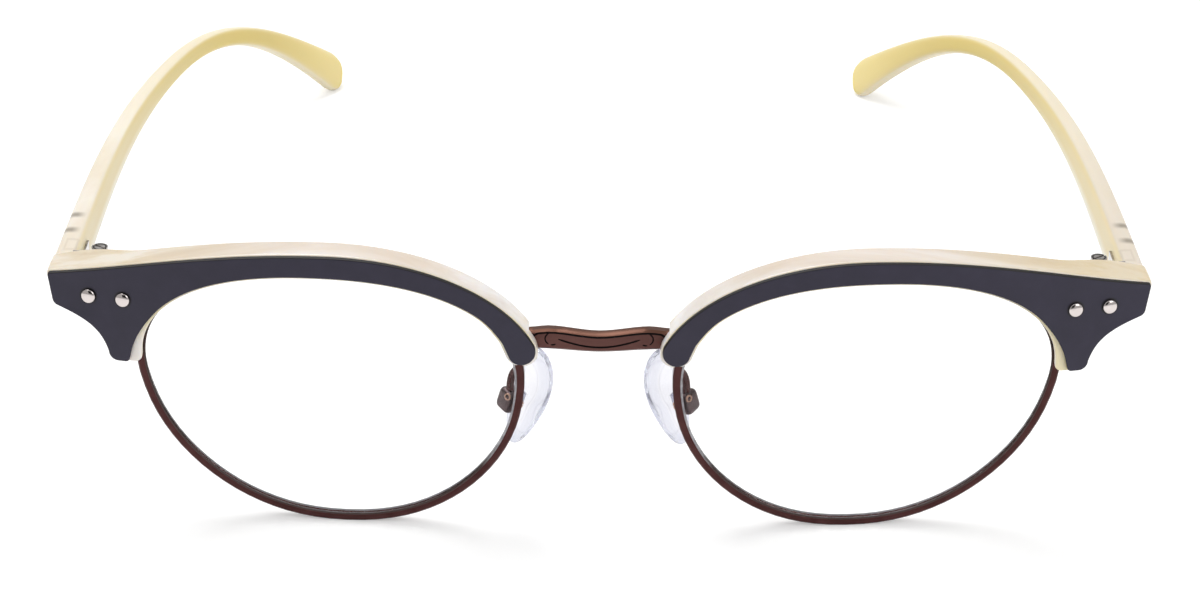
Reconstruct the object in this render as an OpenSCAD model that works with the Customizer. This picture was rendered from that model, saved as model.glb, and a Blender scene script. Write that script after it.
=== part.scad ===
// Browline glasses: a laminated plastic brow over a pair of metal eyewires.
// Millimetres. +X is the wearer's left, the front looks along -Y, +Z is up.
// The pair stands open on a table: both eyewires and both temple tips touch Z = 0.

/* [Eyewires and lenses] */
// Width of one eyewire across its centreline at mid height
eye_w = 47.7; // [40:0.1:54]
// Height of one eyewire from centreline to centreline
eye_h = 35.75; // [30:0.05:42]
// Gap between the two eyewires' centrelines at mid height
eye_gap = 20.3; // [16:0.1:24]
// Squareness of the eye shape, where 2 is an ellipse
eye_power = 2.216; // [2:0.002:2.6]
// How much wider the eye shape is above its middle than below, as a share
eye_egg = 0.17; // [0:0.01:0.22]
// How far the top of the eye shape leans outward
eye_lean = 1.465; // [0:0.005:3]
// Thickness of the eyewire, seen from the front
wire_t = 1.0; // [0.8:0.05:1.3]
// Depth of the eyewire from front to back
wire_d = 1.8; // [1.5:0.05:2.4]
// Depth of the groove that holds the lens
groove = 0.5; // [0.3:0.05:0.6]
// Thickness of a lens
lens_t = 1.7; // [1.2:0.05:2]
// Play between the lens bevel and its groove
lens_gap = 0.06; // [0.03:0.01:0.1]

/* [Face form] */
// Radius of the ball that the front is curved to
base_r = 180; // [120:5:400]
// Angle by which each half of the front sweeps back
wrap_angle = 4; // [0:0.5:6]

/* [Brow] */
// Reach of the brow's outer corner beyond the eyewire's centreline
end_reach = 12.25; // [11:0.05:13.5]
// Height of the brow's peak above the eyewire's centreline
brow_rise = 2.7; // [2:0.05:4]
// How far the outer corner sits below the brow's peak
corner_drop = 5.1; // [3.5:0.1:7]
// Height of the outer end of the brow
end_h = 4.4; // [3.6:0.1:5]
// How far the lobe's foot sits below the outer corner
lobe_drop = 11.1; // [10:0.1:12.5]
// Width of the lobe at its foot
lobe_w = 2.7; // [2:0.05:3.4]
// Radius of the rounded nasal end of the brow
nasal_r = 1.75; // [1.4:0.05:2]
// Thickness of the dark front layer
face_t = 0.6; // [0.4:0.05:1]
// Depth of the cream body behind it, over the eye
body_t = 4.4; // [3.8:0.1:5]
// Depth of the front from the dark face to the back of the end piece, at the corner
end_d = 5.7; // [5.2:0.1:6.5]
// How far the cream body stands out around the dark layer
body_step = 0.18; // [0:0.01:0.3]
// Extra width of the cream shelf at the foot of the lobe
lobe_shelf = 0.45; // [0:0.05:0.7]
// Depth from the dark face to the eyewire's front
wire_seat = 2.3; // [1.8:0.05:2.6]
// Radius of the body's rear edges
edge_r = 0.9; // [0.4:0.05:1.1]

/* [Studs] */
// Radius of a stud's dome
stud_r = 0.95; // [0.7:0.05:1.2]
// Height of a stud's dome
stud_h = 0.45; // [0.3:0.05:0.7]
// Radius of a stud's shank
shank_r = 0.5; // [0.3:0.05:0.6]
// Distance of the outer front stud from the outer corner, along X
front_stud_in = 5.3; // [4.5:0.1:6]
// Distance of the front studs below the outer corner
front_stud_down = 2.5; // [2.1:0.1:2.9]
// Distance between the two front studs
front_stud_gap = 4.45; // [3.5:0.05:5]
// Distance from the hinge axis to the first temple stud
temple_stud_at = 13.2; // [11:0.1:16]
// Distance between the two temple studs
temple_stud_gap = 4.7; // [3.5:0.1:6]

/* [Bridge] */
// Height of the bridge's front face at its ends
bridge_h = 2.5; // [2:0.05:3.2]
// Depth of the bridge from front to back
bridge_t = 1.75; // [1.4:0.05:2.2]
// How far the bridge's lower edge sits below the middle of the brow's nasal end
bridge_down = 0.6; // [0.2:0.1:1]
// How far the middle of the bridge bows forward
bridge_bow = 0.8; // [0:0.1:2]
// Extra height of the bridge at its two shoulders
bridge_shoulder = 0.35; // [0:0.05:0.6]

/* [Hinges] */
// Distance of the hinge axis inward from the temple's inner face
hinge_in = 3; // [2.6:0.1:3.4]
// Distance of the hinge axis behind the end piece
hinge_back = 2.1; // [1.8:0.1:2.6]
// Outer radius of the knuckles
knuckle_r = 1.05; // [0.9:0.05:1.2]
// How far the top knuckle sits below the front's outer corner
knuckle_drop = 0.5; // [0.3:0.1:0.9]
// Height of one knuckle
knuckle_h = 0.84; // [0.7:0.02:0.95]
// Gap between neighbouring knuckles
knuckle_gap = 0.1; // [0.06:0.01:0.15]
// Radius of the hinge screw's shank
hinge_screw_r = 0.46; // [0.35:0.01:0.55]
// Thickness of the hinge leaves
leaf_t = 0.9; // [0.7:0.05:1.1]

/* [Temples] */
// Length of a temple along its curve
temple_len = 140; // [125:0.1:150]
// Length of its straight run before the bend starts
straight_len = 85.3; // [70:0.1:95]
// Distance over which the bend would reach its full angle
bend_len = 80.2; // [60:0.1:110]
// Full angle of the bend
bend_angle = 64.4; // [40:0.1:75]
// How far the tip bows inward
bow_in = 27.1; // [10:0.1:32]
// How late the bow starts, as a power of the way along
bow_power = 3.74; // [2:0.01:5]
// Height of a temple at the hinge
temple_h = 6.4; // [5:0.1:8]
// Height of a temple at its bend
bend_h = 2.9; // [2.4:0.1:5]
// Height of a temple just before its rounded tip
tip_h = 7.7; // [7:0.1:10]
// Radius that rounds the temple's tip
tip_r = 3.2; // [2:0.1:3.4]
// How far the temple's outer face stands out past the front's corner
temple_out = 0.5; // [0.2:0.05:0.7]
// How far the temple's top edge sits below the front's outer corner
temple_drop = 1.1; // [0.8:0.1:2]
// Thickness of a temple at the hinge
temple_t = 3.2; // [2.8:0.05:4]
// Thickness of a temple at its tip
tip_t = 2.1; // [1.6:0.05:3]
// Gap between the end piece and the open temple
butt_gap = 0.25; // [0.15:0.01:0.4]

/* [Nose pads] */
// Length of a nose pad
pad_len = 14; // [11:0.1:16]
// Width of a nose pad
pad_w = 8; // [6:0.1:9]
// Thickness of a nose pad
pad_t = 1.9; // [1.4:0.05:2.4]
// Distance from the middle of the glasses to a pad's middle
pad_x = 9.2; // [8.6:0.1:10]
// Distance of a pad's middle behind the eyewire's back
pad_back = 3.9; // [3.7:0.1:5.3]
// Height of a pad's middle below the eyewires' middle
pad_down = 2.3; // [1:0.1:4]
// Angle by which the pads open towards the face
pad_splay = 35; // [25:1:45]
// Angle by which the pads open downward
pad_flare = 15.8; // [8:0.1:22]
// Distance of the rocking axis from the pad's middle
pad_stem = 2.6; // [2.3:0.05:3]
// Radius of the pad screw's shank
pad_screw_r = 0.4; // [0.3:0.01:0.5]
// Radius of the wire that carries the pad box
arm_r = 0.5; // [0.4:0.05:0.6]

/* [Small screws] */
// Radius of the brow and lock screws' shanks
screw_r = 0.42; // [0.3:0.01:0.5]
// Radius of their heads
screw_head_r = 0.75; // [0.6:0.05:0.9]
// Height of their heads
screw_head_h = 0.5; // [0.35:0.05:0.6]
// Clearance between a shank and its hole
hole_gap = 0.03; // [0.02:0.005:0.06]
// Clearance between pieces that seat in each other
seat_gap = 0.06; // [0.03:0.01:0.12]

/* [Hidden] */

BRIDGE_BROWN = [0.30, 0.20, 0.19];
STEEL = [0.72, 0.72, 0.73];
CREAM = [0.93, 0.89, 0.78];
FACE_DARK = [0.20, 0.20, 0.26];
SILVER = [0.85, 0.84, 0.85];
CLEAR = [0.80, 0.88, 0.95, 0.35];
PAD_CLEAR = [0.86, 0.88, 0.94, 0.6];

round_fn = 48;
eye_steps = 72;

function smooth(t) = let(c = max(0, min(1, t))) c * c * (3 - 2 * c);
function mix(a, b, t) = a + (b - a) * t;
function signed_pow(v, p) = sign(v) * pow(abs(v), p);
function unit(v) = v / norm(v);
function bezier(p, t) = pow(1 - t, 3) * p[0] + 3 * t * pow(1 - t, 2) * p[1]
                        + 3 * t * t * (1 - t) * p[2] + pow(t, 3) * p[3];
function arc(centre, r, from, to, steps) =
    [for (i = [0:steps]) let(a = mix(from, to, i / steps)) centre + r * [cos(a), sin(a)]];

// The curved front: Y of the dark face at any X and Z
lens_cx = eye_gap / 2 + eye_w / 2;
lens_cz = eye_h / 2 + wire_t / 2;
function face_y(x, z) = tan(wrap_angle) * x
                        + (pow(x - lens_cx, 2) + pow(z - lens_cz, 2)) / (2 * base_r);
function on_face(p, depth) = [p[0], face_y(p[0], p[1]) + depth, p[1]];

// The eye shape: a squared ellipse, wider above its middle and leaning outward
function eye_at(a) =
    let(x = signed_pow(cos(a), 2 / eye_power), z = signed_pow(sin(a), 2 / eye_power))
    [lens_cx + eye_w / 2 * x * (1 + eye_egg * z) + eye_lean * z, lens_cz + eye_h / 2 * z];
function eye_out(a) = let(t = eye_at(a + 0.5) - eye_at(a - 0.5)) unit([t[1], -t[0]]);
function eye_off(a, r) = eye_at(a) + r * eye_out(a);

// A skin over a stack of rings. Rings run round the shape the same way, one after the other.
module skin(rings, caps) {
    n = len(rings[0]);
    m = len(rings);
    points = [for (r = rings) each r];
    loop = len(caps) == 0;
    sides = [for (i = [0:(loop ? m - 1 : m - 2)], j = [0:n - 1])
             let(a = i * n + j, b = i * n + (j + 1) % n, c = ((i + 1) % m) * n)
             each [[a, b, c + (j + 1) % n], [a, c + (j + 1) % n, c + j]]];
    last = (m - 1) * n;
    first_cap = [for (t = caps) [t[2], t[1], t[0]]];
    last_cap = [for (t = caps) [t[0] + last, t[1] + last, t[2] + last]];
    polyhedron(points, concat(sides, first_cap, last_cap), convexity = 6);
}
function fan(n) = [for (j = [1:n - 2]) [0, j, j + 1]];
function turn(a, b, c) = (b[0] - a[0]) * (c[2] - a[2]) - (b[2] - a[2]) * (c[0] - a[0]);
function strip(r) =
    let(n = len(r))
    [for (i = [0:n / 2 - 2]) let(j = n - 1 - i, u = turn(r[i], r[i + 1], r[j - 1]) < 0 && turn(r[i], r[j - 1], r[j]) < 0)
        each (u ? [[i, i + 1, j - 1], [i, j - 1, j]] : [[i, i + 1, j], [i + 1, j - 1, j]])];
function reverse(v) = [for (i = [len(v) - 1:-1:0]) v[i]];

// Brow outline in X and Z. "out" grows the outer edge and "lap" sets the edge over the lens,
// measured outward from the eyewire's centreline.
peak = [lens_cx + 0.2, lens_cz + eye_h / 2 + brow_rise];
corner = [eye_gap / 2 + eye_w + end_reach, peak[1] - corner_drop];
foot_z = corner[1] - lobe_drop;
nasal_from = 157;
nasal_lap = 0.55;
nasal_c = eye_off(nasal_from, nasal_r - nasal_lap);
nasal_join = 152;
foot_r = 0.7;
end_lean = 0.5;
lobe_gap = 0.6;
lobe_from_z = foot_z + 7;
function lobe_share(a) = eye_at(a)[0] < lens_cx ? 0 : smooth((lobe_from_z - eye_at(a)[1]) / 4);

function brow_outer(out) =
    let(tip_r = nasal_r + out,
        tip = nasal_c + tip_r * [cos(nasal_join), sin(nasal_join)],
        top = peak + [0, out],
        half = peak[0] - tip[0],
        end = corner[0] - peak[0],
        corner_r = max(0.4 + out, 0.05),
        c = corner + [out - corner_r, out - corner_r],
        low_r = max(1 + out, 0.1),
        low = corner + [out - end_lean - low_r, low_r - out - end_h],
        foot_arc_r = max(foot_r + out, 0.1),
        foot_out = eye_off(17, lobe_gap)[0] + lobe_w,
        foot_c = [foot_out + out - foot_arc_r, foot_z - out + foot_arc_r],
        lobe_start = low + low_r * [cos(-68), sin(-68)],
        lobe_end = foot_c + [foot_arc_r, 0])
    concat(
        arc(nasal_c, tip_r, 262, nasal_join, 5),
        [for (i = [1:13]) bezier([tip, tip + 0.28 * half * [cos(nasal_join - 90), sin(nasal_join - 90)],
                                  top - [0.49 * half, 0], top], i / 13)],
        [for (i = [1:12]) bezier([top, top + [0.39 * end, 0],
                                  c + corner_r * [0, 1] + 0.3 * end * [-1, 0.18],
                                  c + corner_r * [0, 1]], i / 12)],
        arc(c, corner_r, 67, 0, 2),
        arc(low, low_r, -5, -68, 3),
        [for (i = [1:7]) bezier([lobe_start, lobe_start - lobe_drop * [0.27, 0.11],
                                 lobe_end + lobe_drop * [0.12, 0.26], lobe_end], i / 7)],
        arc(foot_c, foot_arc_r, -22, -90, 3));

function eye_step(k) = lookup(k, [[5, 150], [18, 93], [30, 40], [44, 17]]);
function brow_inner(out, lap, lobe_lap) =
    let(foot_arc_r = 0.4, foot_c = [eye_off(17, lobe_lap)[0] + foot_arc_r, foot_z - out + foot_arc_r],
        tuck = lap < 0.3 ? 0.3 : 0)
    concat(
        [nasal_c + (nasal_r - lap / 2) * [cos(272), sin(272)]],
        arc(nasal_c, nasal_r - lap, 290, 345, 3),
        [for (k = [5:44]) let(a = eye_step(k))
            eye_off(a, mix(lap, lobe_lap, lobe_share(a)) - tuck * smooth((a - 135) / 15))],
        arc(foot_c, foot_arc_r, 190, 270, 3));
function brow_loop(out, lap, lobe_lap) =
    let(inner = brow_inner(out, lap, lobe_lap))
    concat(brow_outer(out), reverse(inner));

// Rings of the brow, from the front to the back
end_back = face_y(corner[0], corner[1]) + end_d;
end_from = corner[0] - 12;
function end_share(x) = smooth((x - end_from) / 10);
function body_back(p) = mix(face_y(p[0], p[1]) + face_t + body_t, end_back, end_share(p[0]));
function taper(x, share) = x - 0.2 * share * smooth((x - end_from - 2) / 8);
function front_ring(out, lap, lobe_lap, depth) =
    [for (p = brow_loop(out, lap, lobe_lap)) on_face([taper(p[0], depth / 12), p[1]], depth)];
function back_ring(out, lap, ahead) =
    [for (p = brow_loop(out, lap, lap)) [taper(p[0], 1), body_back(p) - ahead, p[1]]];
lobe_lap = 0.6;
lip = -0.15;
seat_lap = wire_t / 2 + seat_gap + 0.04;
edge_ease = 0.12;
face_rings = [
    front_ring(-edge_ease, edge_ease, lobe_lap + edge_ease, 0),
    front_ring(0, 0, lobe_lap, edge_ease),
    front_ring(0, 0, lobe_lap, face_t)];
body_rings = [
    front_ring(body_step - 0.15, lip + 0.12, lobe_lap - lobe_shelf, face_t),
    front_ring(body_step, lip, lobe_lap + lip - lobe_shelf, face_t + 0.3),
    front_ring(body_step, lip, lobe_lap + lip - lobe_shelf, wire_seat - 0.11),
    front_ring(body_step, seat_lap, lobe_lap, wire_seat - seat_gap),
    back_ring(body_step, seat_lap, edge_r),
    back_ring(body_step - 0.29 * edge_r, seat_lap + 0.06, 0.29 * edge_r),
    back_ring(body_step - edge_r, seat_lap + 0.2, 0)];

// Studs and screws stand along their own axis, head first
module dome_stud(length) {
    rotate_extrude($fn = round_fn)
        polygon(concat([[0, -length], [shank_r, -length], [shank_r, 0], [stud_r, 0], [stud_r, 0.1]],
                       [for (i = [1:6]) let(a = 15 * i)
                           [stud_r * cos(a), 0.1 + (stud_h - 0.1) * sin(a)]]));
}
module slot_screw(r, length, head_r, head_h) {
    difference() {
        union() {
            translate([0, 0, -length]) cylinder(h = length + head_h / 2, r = r, $fn = round_fn);
            cylinder(h = head_h, r = head_r, $fn = round_fn);
        }
        translate([-head_r, -0.12, head_h * 0.6]) cube([2 * head_r, 0.24, head_h]);
    }
}
module bore(r, length) translate([0, 0, -length]) cylinder(h = length + 2, r = r, $fn = round_fn);

// The two studs of the front, square to its curved face
stud_spots = [for (i = [0, 1]) [corner[0] - front_stud_in - i * front_stud_gap, corner[1] - front_stud_down]];
stud_len = 3.2;
module at_front_stud(i) {
    p = stud_spots[i];
    slope_x = tan(wrap_angle) + (p[0] - lens_cx) / base_r;
    slope_z = (p[1] - lens_cz) / base_r;
    translate(on_face(p, 0)) rotate([90 - atan(slope_z), 0, atan(slope_x)]) children();
}
module front_studs() for (i = [0, 1]) at_front_stud(i) dome_stud(stud_len);
module front_stud_bores() for (i = [0, 1]) at_front_stud(i) bore(shank_r + hole_gap, stud_len + 0.1);

// Where the closing block of the eyewire and its two screws sit
block_z = lens_cz + eye_h / 2 * 0.28;
block_h = 5.2;
block_x = eye_off(17, 0)[0] + 0.08;
block_w = 2.3;
block_y = face_y(block_x + block_w / 2, block_z + block_h / 2) + wire_seat + 0.1;
block_mid = [block_x + 0.55 * block_w, block_y + wire_d / 2];
split_z = block_z + 1.8;
split_gap = 0.25;
lock_top = block_z + 3;
temporal_screw = [block_mid[0], block_z + block_h - 1.1];
nasal_screw = [nasal_c[0] - 0.6, nasal_c[1] + 0.6];
bite = 1.2;

// Bridge: a bar whose ends are cut to the slant of the eyewires
bridge_z = nasal_c[1] - bridge_down;
function eye_side(z) =
    let(v = (z - lens_cz) / (eye_h / 2), w = pow(1 - pow(abs(v), eye_power), 1 / eye_power))
    lens_cx - eye_w / 2 * w * (1 + eye_egg * v) + eye_lean * v;
bridge_sink = 0.1;
bridge_end = eye_side(bridge_z + bridge_h / 2) - wire_t / 2 + bridge_sink;
bridge_y = face_y(bridge_end, bridge_z + bridge_h / 2) + wire_seat + 0.02;
function bridge_front(t) = bridge_y - bridge_bow * smooth((0.74 - abs(t)) / 0.74);
function bridge_top(t) = bridge_z + bridge_h + bridge_shoulder * (smooth(abs(t) / 0.5)
                         - smooth((abs(t) - 0.5) / 0.28));
function bridge_ring(t) =
    let(f = bridge_front(t), lo = bridge_z, hi = bridge_top(t), b = bridge_t)
    [for (q = [[0, lo + 0.3], [0.3, lo], [b - 0.3, lo], [b, lo + 0.3],
               [b, hi - 0.35], [b - 0.3, hi - 0.05], [0.4, hi], [0, hi - 0.22]])
        [t * (eye_side(q[1]) - wire_t * 0.6 + bridge_sink), f + q[0], q[1]]];
bridge_steps = 26;
module bridge_part() {
    color(BRIDGE_BROWN) difference() {
        skin([for (i = [bridge_steps:-1:0]) bridge_ring(2 * i / bridge_steps - 1)], fan(8));
        for (side = [-1, 1]) translate([side * nasal_screw[0], bridge_y + bridge_t, nasal_screw[1]])
            rotate([-90, 0, 0]) bore(screw_r + hole_gap, bridge_t + 2);
    }
}
module brow_screws() {
    translate([nasal_screw[0], bridge_y + bridge_t, nasal_screw[1]]) rotate([-90, 0, 0])
        slot_screw(screw_r, bridge_t + bite, screw_head_r, screw_head_h);
    translate([temporal_screw[0], block_y + wire_d, temporal_screw[1]]) rotate([-90, 0, 0])
        slot_screw(screw_r, wire_d + bite, screw_head_r, screw_head_h);
}
module brow_screw_bores() {
    translate([nasal_screw[0], bridge_y, nasal_screw[1]]) rotate([-90, 0, 0])
        bore(screw_r + hole_gap, bite + 0.1);
    translate([temporal_screw[0], block_y, temporal_screw[1]]) rotate([-90, 0, 0])
        bore(screw_r + hole_gap, bite + 0.1);
}

// Eyewire, with its groove on the inner side
wire_section = [[0.5, -0.4], [0.5, 0.4], [0.3, 0.5], [-0.5, 0.5], [-0.5, 0.22], [0, 0],
                [-0.5, -0.22], [-0.5, -0.5], [0.3, -0.5]];
wire_mid = wire_seat + wire_d / 2;
function wire_offset(q) = q == [0, 0] ? groove - wire_t / 2 : q[0] * wire_t;
wire_rings = [for (i = [0:eye_steps - 1]) let(a = 360 * i / eye_steps)
    [for (q = wire_section) on_face(eye_off(a, wire_offset(q)), wire_mid + q[1] * wire_d)]];
module wire_block(grow) {
    translate([block_x - grow, block_y - grow, block_z - grow])
        cube([block_w + 2 * grow, wire_d + 2 * grow, block_h + 2 * grow]);
}
module rim() {
    difference() {
        union() {
            skin(reverse(wire_rings), []);
            wire_block(0);
        }
        translate([block_x - 3, block_y - 3, split_z]) cube([block_w + 5, wire_d + 6, split_gap]);
        translate([block_mid[0], block_mid[1], block_z]) rotate([180, 0, 0])
            bore(screw_r + hole_gap, lock_top - block_z + 0.1);
        translate([temporal_screw[0], block_y + wire_d, temporal_screw[1]]) rotate([-90, 0, 0])
            bore(screw_r + hole_gap, wire_d + 2);
    }
}
module rim_lock_screw() {
    translate([block_mid[0], block_mid[1], block_z]) rotate([180, 0, 0])
        slot_screw(screw_r, lock_top - block_z, screw_head_r, screw_head_h);
}

// Lens with a bevel that sits in the groove
lens_edge = -wire_t / 2 - 0.05;
lens_apex = groove - wire_t / 2 - lens_gap * 2;
bevel = wire_d * 0.16;
lens_centre = [lens_cx, lens_cz];
function lens_ring(share, offset, depth) =
    [for (i = [0:eye_steps - 1]) let(a = 360 * i / eye_steps)
        on_face(lens_centre + share * (eye_off(a, offset) - lens_centre), wire_mid + depth)];
lens_rings = [lens_ring(0.01, lens_edge, -lens_t / 2), lens_ring(0.55, lens_edge, -lens_t / 2),
              lens_ring(1, lens_edge, -lens_t / 2), lens_ring(1, lens_edge, -bevel),
              lens_ring(1, lens_apex, 0), lens_ring(1, lens_edge, bevel),
              lens_ring(1, lens_edge, lens_t / 2), lens_ring(0.55, lens_edge, lens_t / 2),
              lens_ring(0.01, lens_edge, lens_t / 2)];
module lens() skin(lens_rings, fan(eye_steps));

// Hinge: five knuckles on one screw, counted from the top
temple_x = corner[0] + temple_out;
hinge_x = temple_x - temple_t - hinge_in;
hinge_y = end_back + hinge_back;
hinge_top = corner[1] - knuckle_drop;
knuckles = 5;
stack_h = knuckles * knuckle_h + (knuckles - 1) * knuckle_gap;
function knuckle_z(i) = hinge_top - (i + 1) * knuckle_h - i * knuckle_gap;
plate_w = 3.8;
plate_x = hinge_x - 1.7;
plate_back = end_back - 1;
plate_front = plate_back - 1.5;
arm_w = 1.5;
hinge_head_h = 0.4;
module knuckle(i) {
    translate([hinge_x, hinge_y, knuckle_z(i)]) cylinder(h = knuckle_h, r = knuckle_r, $fn = round_fn);
}
module hinge_bore() {
    translate([hinge_x, hinge_y, hinge_top - stack_h - 1])
        cylinder(h = stack_h + 2, r = hinge_screw_r + hole_gap, $fn = round_fn);
}
module hinge_front_leaf() {
    difference() {
        union() {
            translate([plate_x, plate_front, hinge_top - stack_h])
                cube([plate_w, plate_back - plate_front, stack_h]);
            for (i = [0, 2, 4]) {
                knuckle(i);
                translate([hinge_x - arm_w / 2, plate_back - 0.1, knuckle_z(i)])
                    cube([arm_w, hinge_y - plate_back + 0.1, knuckle_h]);
            }
        }
        hinge_bore();
    }
}
module front_leaf_recess() {
    translate([plate_x - seat_gap, plate_front - seat_gap, hinge_top - stack_h - seat_gap])
        cube([plate_w + 2 * seat_gap, 6, stack_h + 2 * seat_gap]);
}
leaf_x = temple_x - temple_t - 0.2;
leaf_tail = 9.5;
leaf_low = hinge_top - 4.15;
module leaf_plate(grow) {
    y0 = end_back + butt_gap + 0.75;
    y1 = hinge_y + leaf_tail;
    top = hinge_top - knuckle_h - knuckle_gap;
    translate([leaf_x, 0, 0]) rotate([90, 0, 90]) linear_extrude(height = leaf_t + grow)
        polygon([[y0 - grow, leaf_low - grow], [hinge_y + 2, leaf_low - grow],
                 [hinge_y + 4, leaf_low - 1 - grow], [y1 + grow, leaf_low - 1.4 - grow],
                 [y1 + grow, leaf_low + 0.8 + grow], [hinge_y + 4, leaf_low + 1.2 + grow],
                 [hinge_y + 1.6 + grow, top + grow], [y0 - grow, top + grow]]);
}
module hinge_temple_leaf() {
    difference() {
        union() {
            leaf_plate(0);
            for (i = [1, 3]) {
                knuckle(i);
                translate([hinge_x, hinge_y - arm_w / 2, knuckle_z(i)])
                    cube([leaf_x - hinge_x + 0.3, arm_w, knuckle_h]);
            }
        }
        hinge_bore();
    }
}
module hinge_screw() {
    translate([hinge_x, hinge_y, hinge_top]) rotate([0, 0, 35])
        slot_screw(hinge_screw_r, stack_h, knuckle_r, hinge_head_h);
}

// Brow layers
module brow_face() {
    difference() {
        skin(reverse(face_rings), strip(face_rings[0]));
        front_stud_bores();
    }
}
module brow_body() {
    difference() {
        skin(reverse(body_rings), strip(body_rings[6]));
        translate([-1, bridge_y - seat_gap, foot_z - 4])
            cube([bridge_end + 2.4, 12, bridge_z + bridge_h + 0.35 - foot_z + 4]);
        translate([block_x - 1.5, block_y - seat_gap, foot_z - 4])
            cube([block_w + 1.5 + seat_gap, 12, block_z + block_h - foot_z + 4 + seat_gap]);
        front_leaf_recess();
        front_stud_bores();
        brow_screw_bores();
    }
}

// Temple: a path that runs back, bends down behind the ear and bows inward
temple_steps = 34;
temple_mid_z = corner[1] - temple_drop - temple_h / 2;
temple_y = end_back + butt_gap;
function bend_at(s) = bend_angle * smooth((s - straight_len) / bend_len);
function path_step(i) = temple_len * (i < 22 ? i / 22 * 0.82 : 0.82 + 0.18 * pow((i - 22) / (temple_steps - 22), 0.8));
function temple_path(slope) =
    [for (i = 0, s = 0, p = [temple_y, temple_mid_z], a = slope;
          i <= temple_steps;
          a = i < temple_steps ? slope + bend_at((path_step(i) + path_step(i + 1)) / 2) : 0,
          p = i < temple_steps ? p + (path_step(i + 1) - s) * [cos(a), -sin(a)] : p,
          i = i + 1,
          s = i <= temple_steps ? path_step(i) : s)
        [s, p[0], p[1]]];
function temple_height(s) =
    let(f = s / temple_len, past = max(0, s - temple_len + tip_r),
        h = f < 0.75 ? mix(temple_h, bend_h, smooth(f / 0.75))
                     : mix(bend_h, tip_h, pow((f - 0.75) / 0.25, 3)))
    h - 2 * (tip_r - sqrt(tip_r * tip_r - past * past)) * (tip_h / tip_r / 2 * 0.8);
function temple_thick(s) = mix(temple_t, tip_t, s / temple_len);
function temple_ring(q, slope) =
    let(s = q[0], f = s / temple_len, a = slope + bend_at(s),
        along = unit([-bow_in * bow_power * pow(f, bow_power - 1) / temple_len, cos(a), -sin(a)]),
        up = [0, sin(a), cos(a)],
        across = cross(along, up),
        h = temple_height(s), t = temple_thick(s),
        centre = [temple_x - bow_in * pow(f, bow_power), q[1], q[2]] - t / 2 * across)
    [for (j = [0:15]) let(b = 22.5 * j + 11.25)
        centre + signed_pow(cos(b), 0.5) * t / 2 * across + signed_pow(sin(b), 0.5) * h / 2 * up];
function temple_rings_at(slope) = [for (q = temple_path(slope)) temple_ring(q, slope)];
function low_of(slope) = min([for (r = temple_rings_at(slope), p = r) p[2]]);
function level(lo, hi, n) = n == 0 ? (lo + hi) / 2
                            : low_of((lo + hi) / 2) > 0 ? level((lo + hi) / 2, hi, n - 1)
                                                        : level(lo, (lo + hi) / 2, n - 1);
temple_slope = level(0, 14, 24);
temple_rings = temple_rings_at(temple_slope);
temple_pull = 0.97;
function temple_spot(y) = [temple_x, y, temple_mid_z - (y - temple_y) * tan(temple_slope)];
temple_stud_len = 2.3;
module at_temple_stud(i) {
    translate(temple_spot(hinge_y + temple_stud_at + i * temple_stud_gap)) rotate([0, 90, 0]) children();
}
module temple_studs() for (i = [0, 1]) at_temple_stud(i) dome_stud(temple_stud_len);
module temple() {
    difference() {
        skin(temple_rings, fan(16));
        leaf_plate(seat_gap);
        for (i = [0, 1]) at_temple_stud(i) bore(shank_r + hole_gap, temple_stud_len + 0.1);
    }
}

// Nose pad, its box and its arm. Inside at_pad, Z runs along the pad and X points outward.
pad_z = lens_cz - pad_down;
pad_y = face_y(lens_cx - eye_w / 2, pad_z) + wire_seat + wire_d + pad_back;
module at_pad() translate([pad_x, pad_y, pad_z]) rotate([0, -pad_flare, 0]) rotate([0, 0, -pad_splay]) children();
pad_steps = 28;
function pad_edge(a) =
    let(z = pad_len / 2 * sin(a), w = pad_w / 2 * cos(a) * (1 + 0.24 * sin(a) - 0.05))
    [w, z];
function pad_ring(share, x) =
    [for (i = [0:pad_steps - 1]) let(p = pad_edge(360 * i / pad_steps), r = norm(p))
        [x, p[0] * (1 - share / r), p[1] * (1 - share / r)]];
pad_rings = [pad_ring(1.5, -pad_t / 2 + 0.05), pad_ring(0.5, -pad_t * 0.42), pad_ring(0, -pad_t * 0.12),
             pad_ring(0, pad_t * 0.12), pad_ring(0.5, pad_t * 0.42), pad_ring(1.5, pad_t / 2)];
tab_t = 1.2;
tab_r = 0.9;
box_w = 2.7;
box_h = 3;
box_from = pad_stem - 0.9;
box_to = pad_stem + 1.4;
pad_head_r = 0.8;
pad_head_h = 0.45;
module nose_pad() {
    at_pad() difference() {
        union() {
            skin(reverse(pad_rings), fan(pad_steps));
            translate([pad_t * 0.3, -tab_t / 2, -tab_r]) cube([pad_stem - pad_t * 0.3, tab_t, 2 * tab_r]);
            translate([pad_stem, tab_t / 2, 0]) rotate([90, 0, 0]) cylinder(h = tab_t, r = tab_r, $fn = round_fn);
        }
        translate([pad_stem, 0, 0]) rotate([90, 0, 0])
            cylinder(h = 4, r = pad_screw_r + hole_gap, center = true, $fn = round_fn);
    }
}
module pad_screw() {
    at_pad() translate([pad_stem, -box_w / 2, 0]) rotate([90, 0, 0])
        slot_screw(pad_screw_r, box_w, pad_head_r, pad_head_h);
}
function pad_world(v) =
    let(a = -pad_splay, b = -pad_flare,
        w = [v[0] * cos(a) - v[1] * sin(a), v[0] * sin(a) + v[1] * cos(a), v[2]])
    [pad_x + w[0] * cos(b) + w[2] * sin(b), pad_y + w[1], pad_z - w[0] * sin(b) + w[2] * cos(b)];
arm_end = pad_world([(box_from + box_to) / 2 + 0.3, 0, box_h / 2 - 0.2]);
arm_z = lens_cz + 2.9;
arm_start = [eye_side(arm_z) + 0.05, face_y(eye_side(arm_z), arm_z) + wire_seat + wire_d - 0.12, arm_z];
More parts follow.
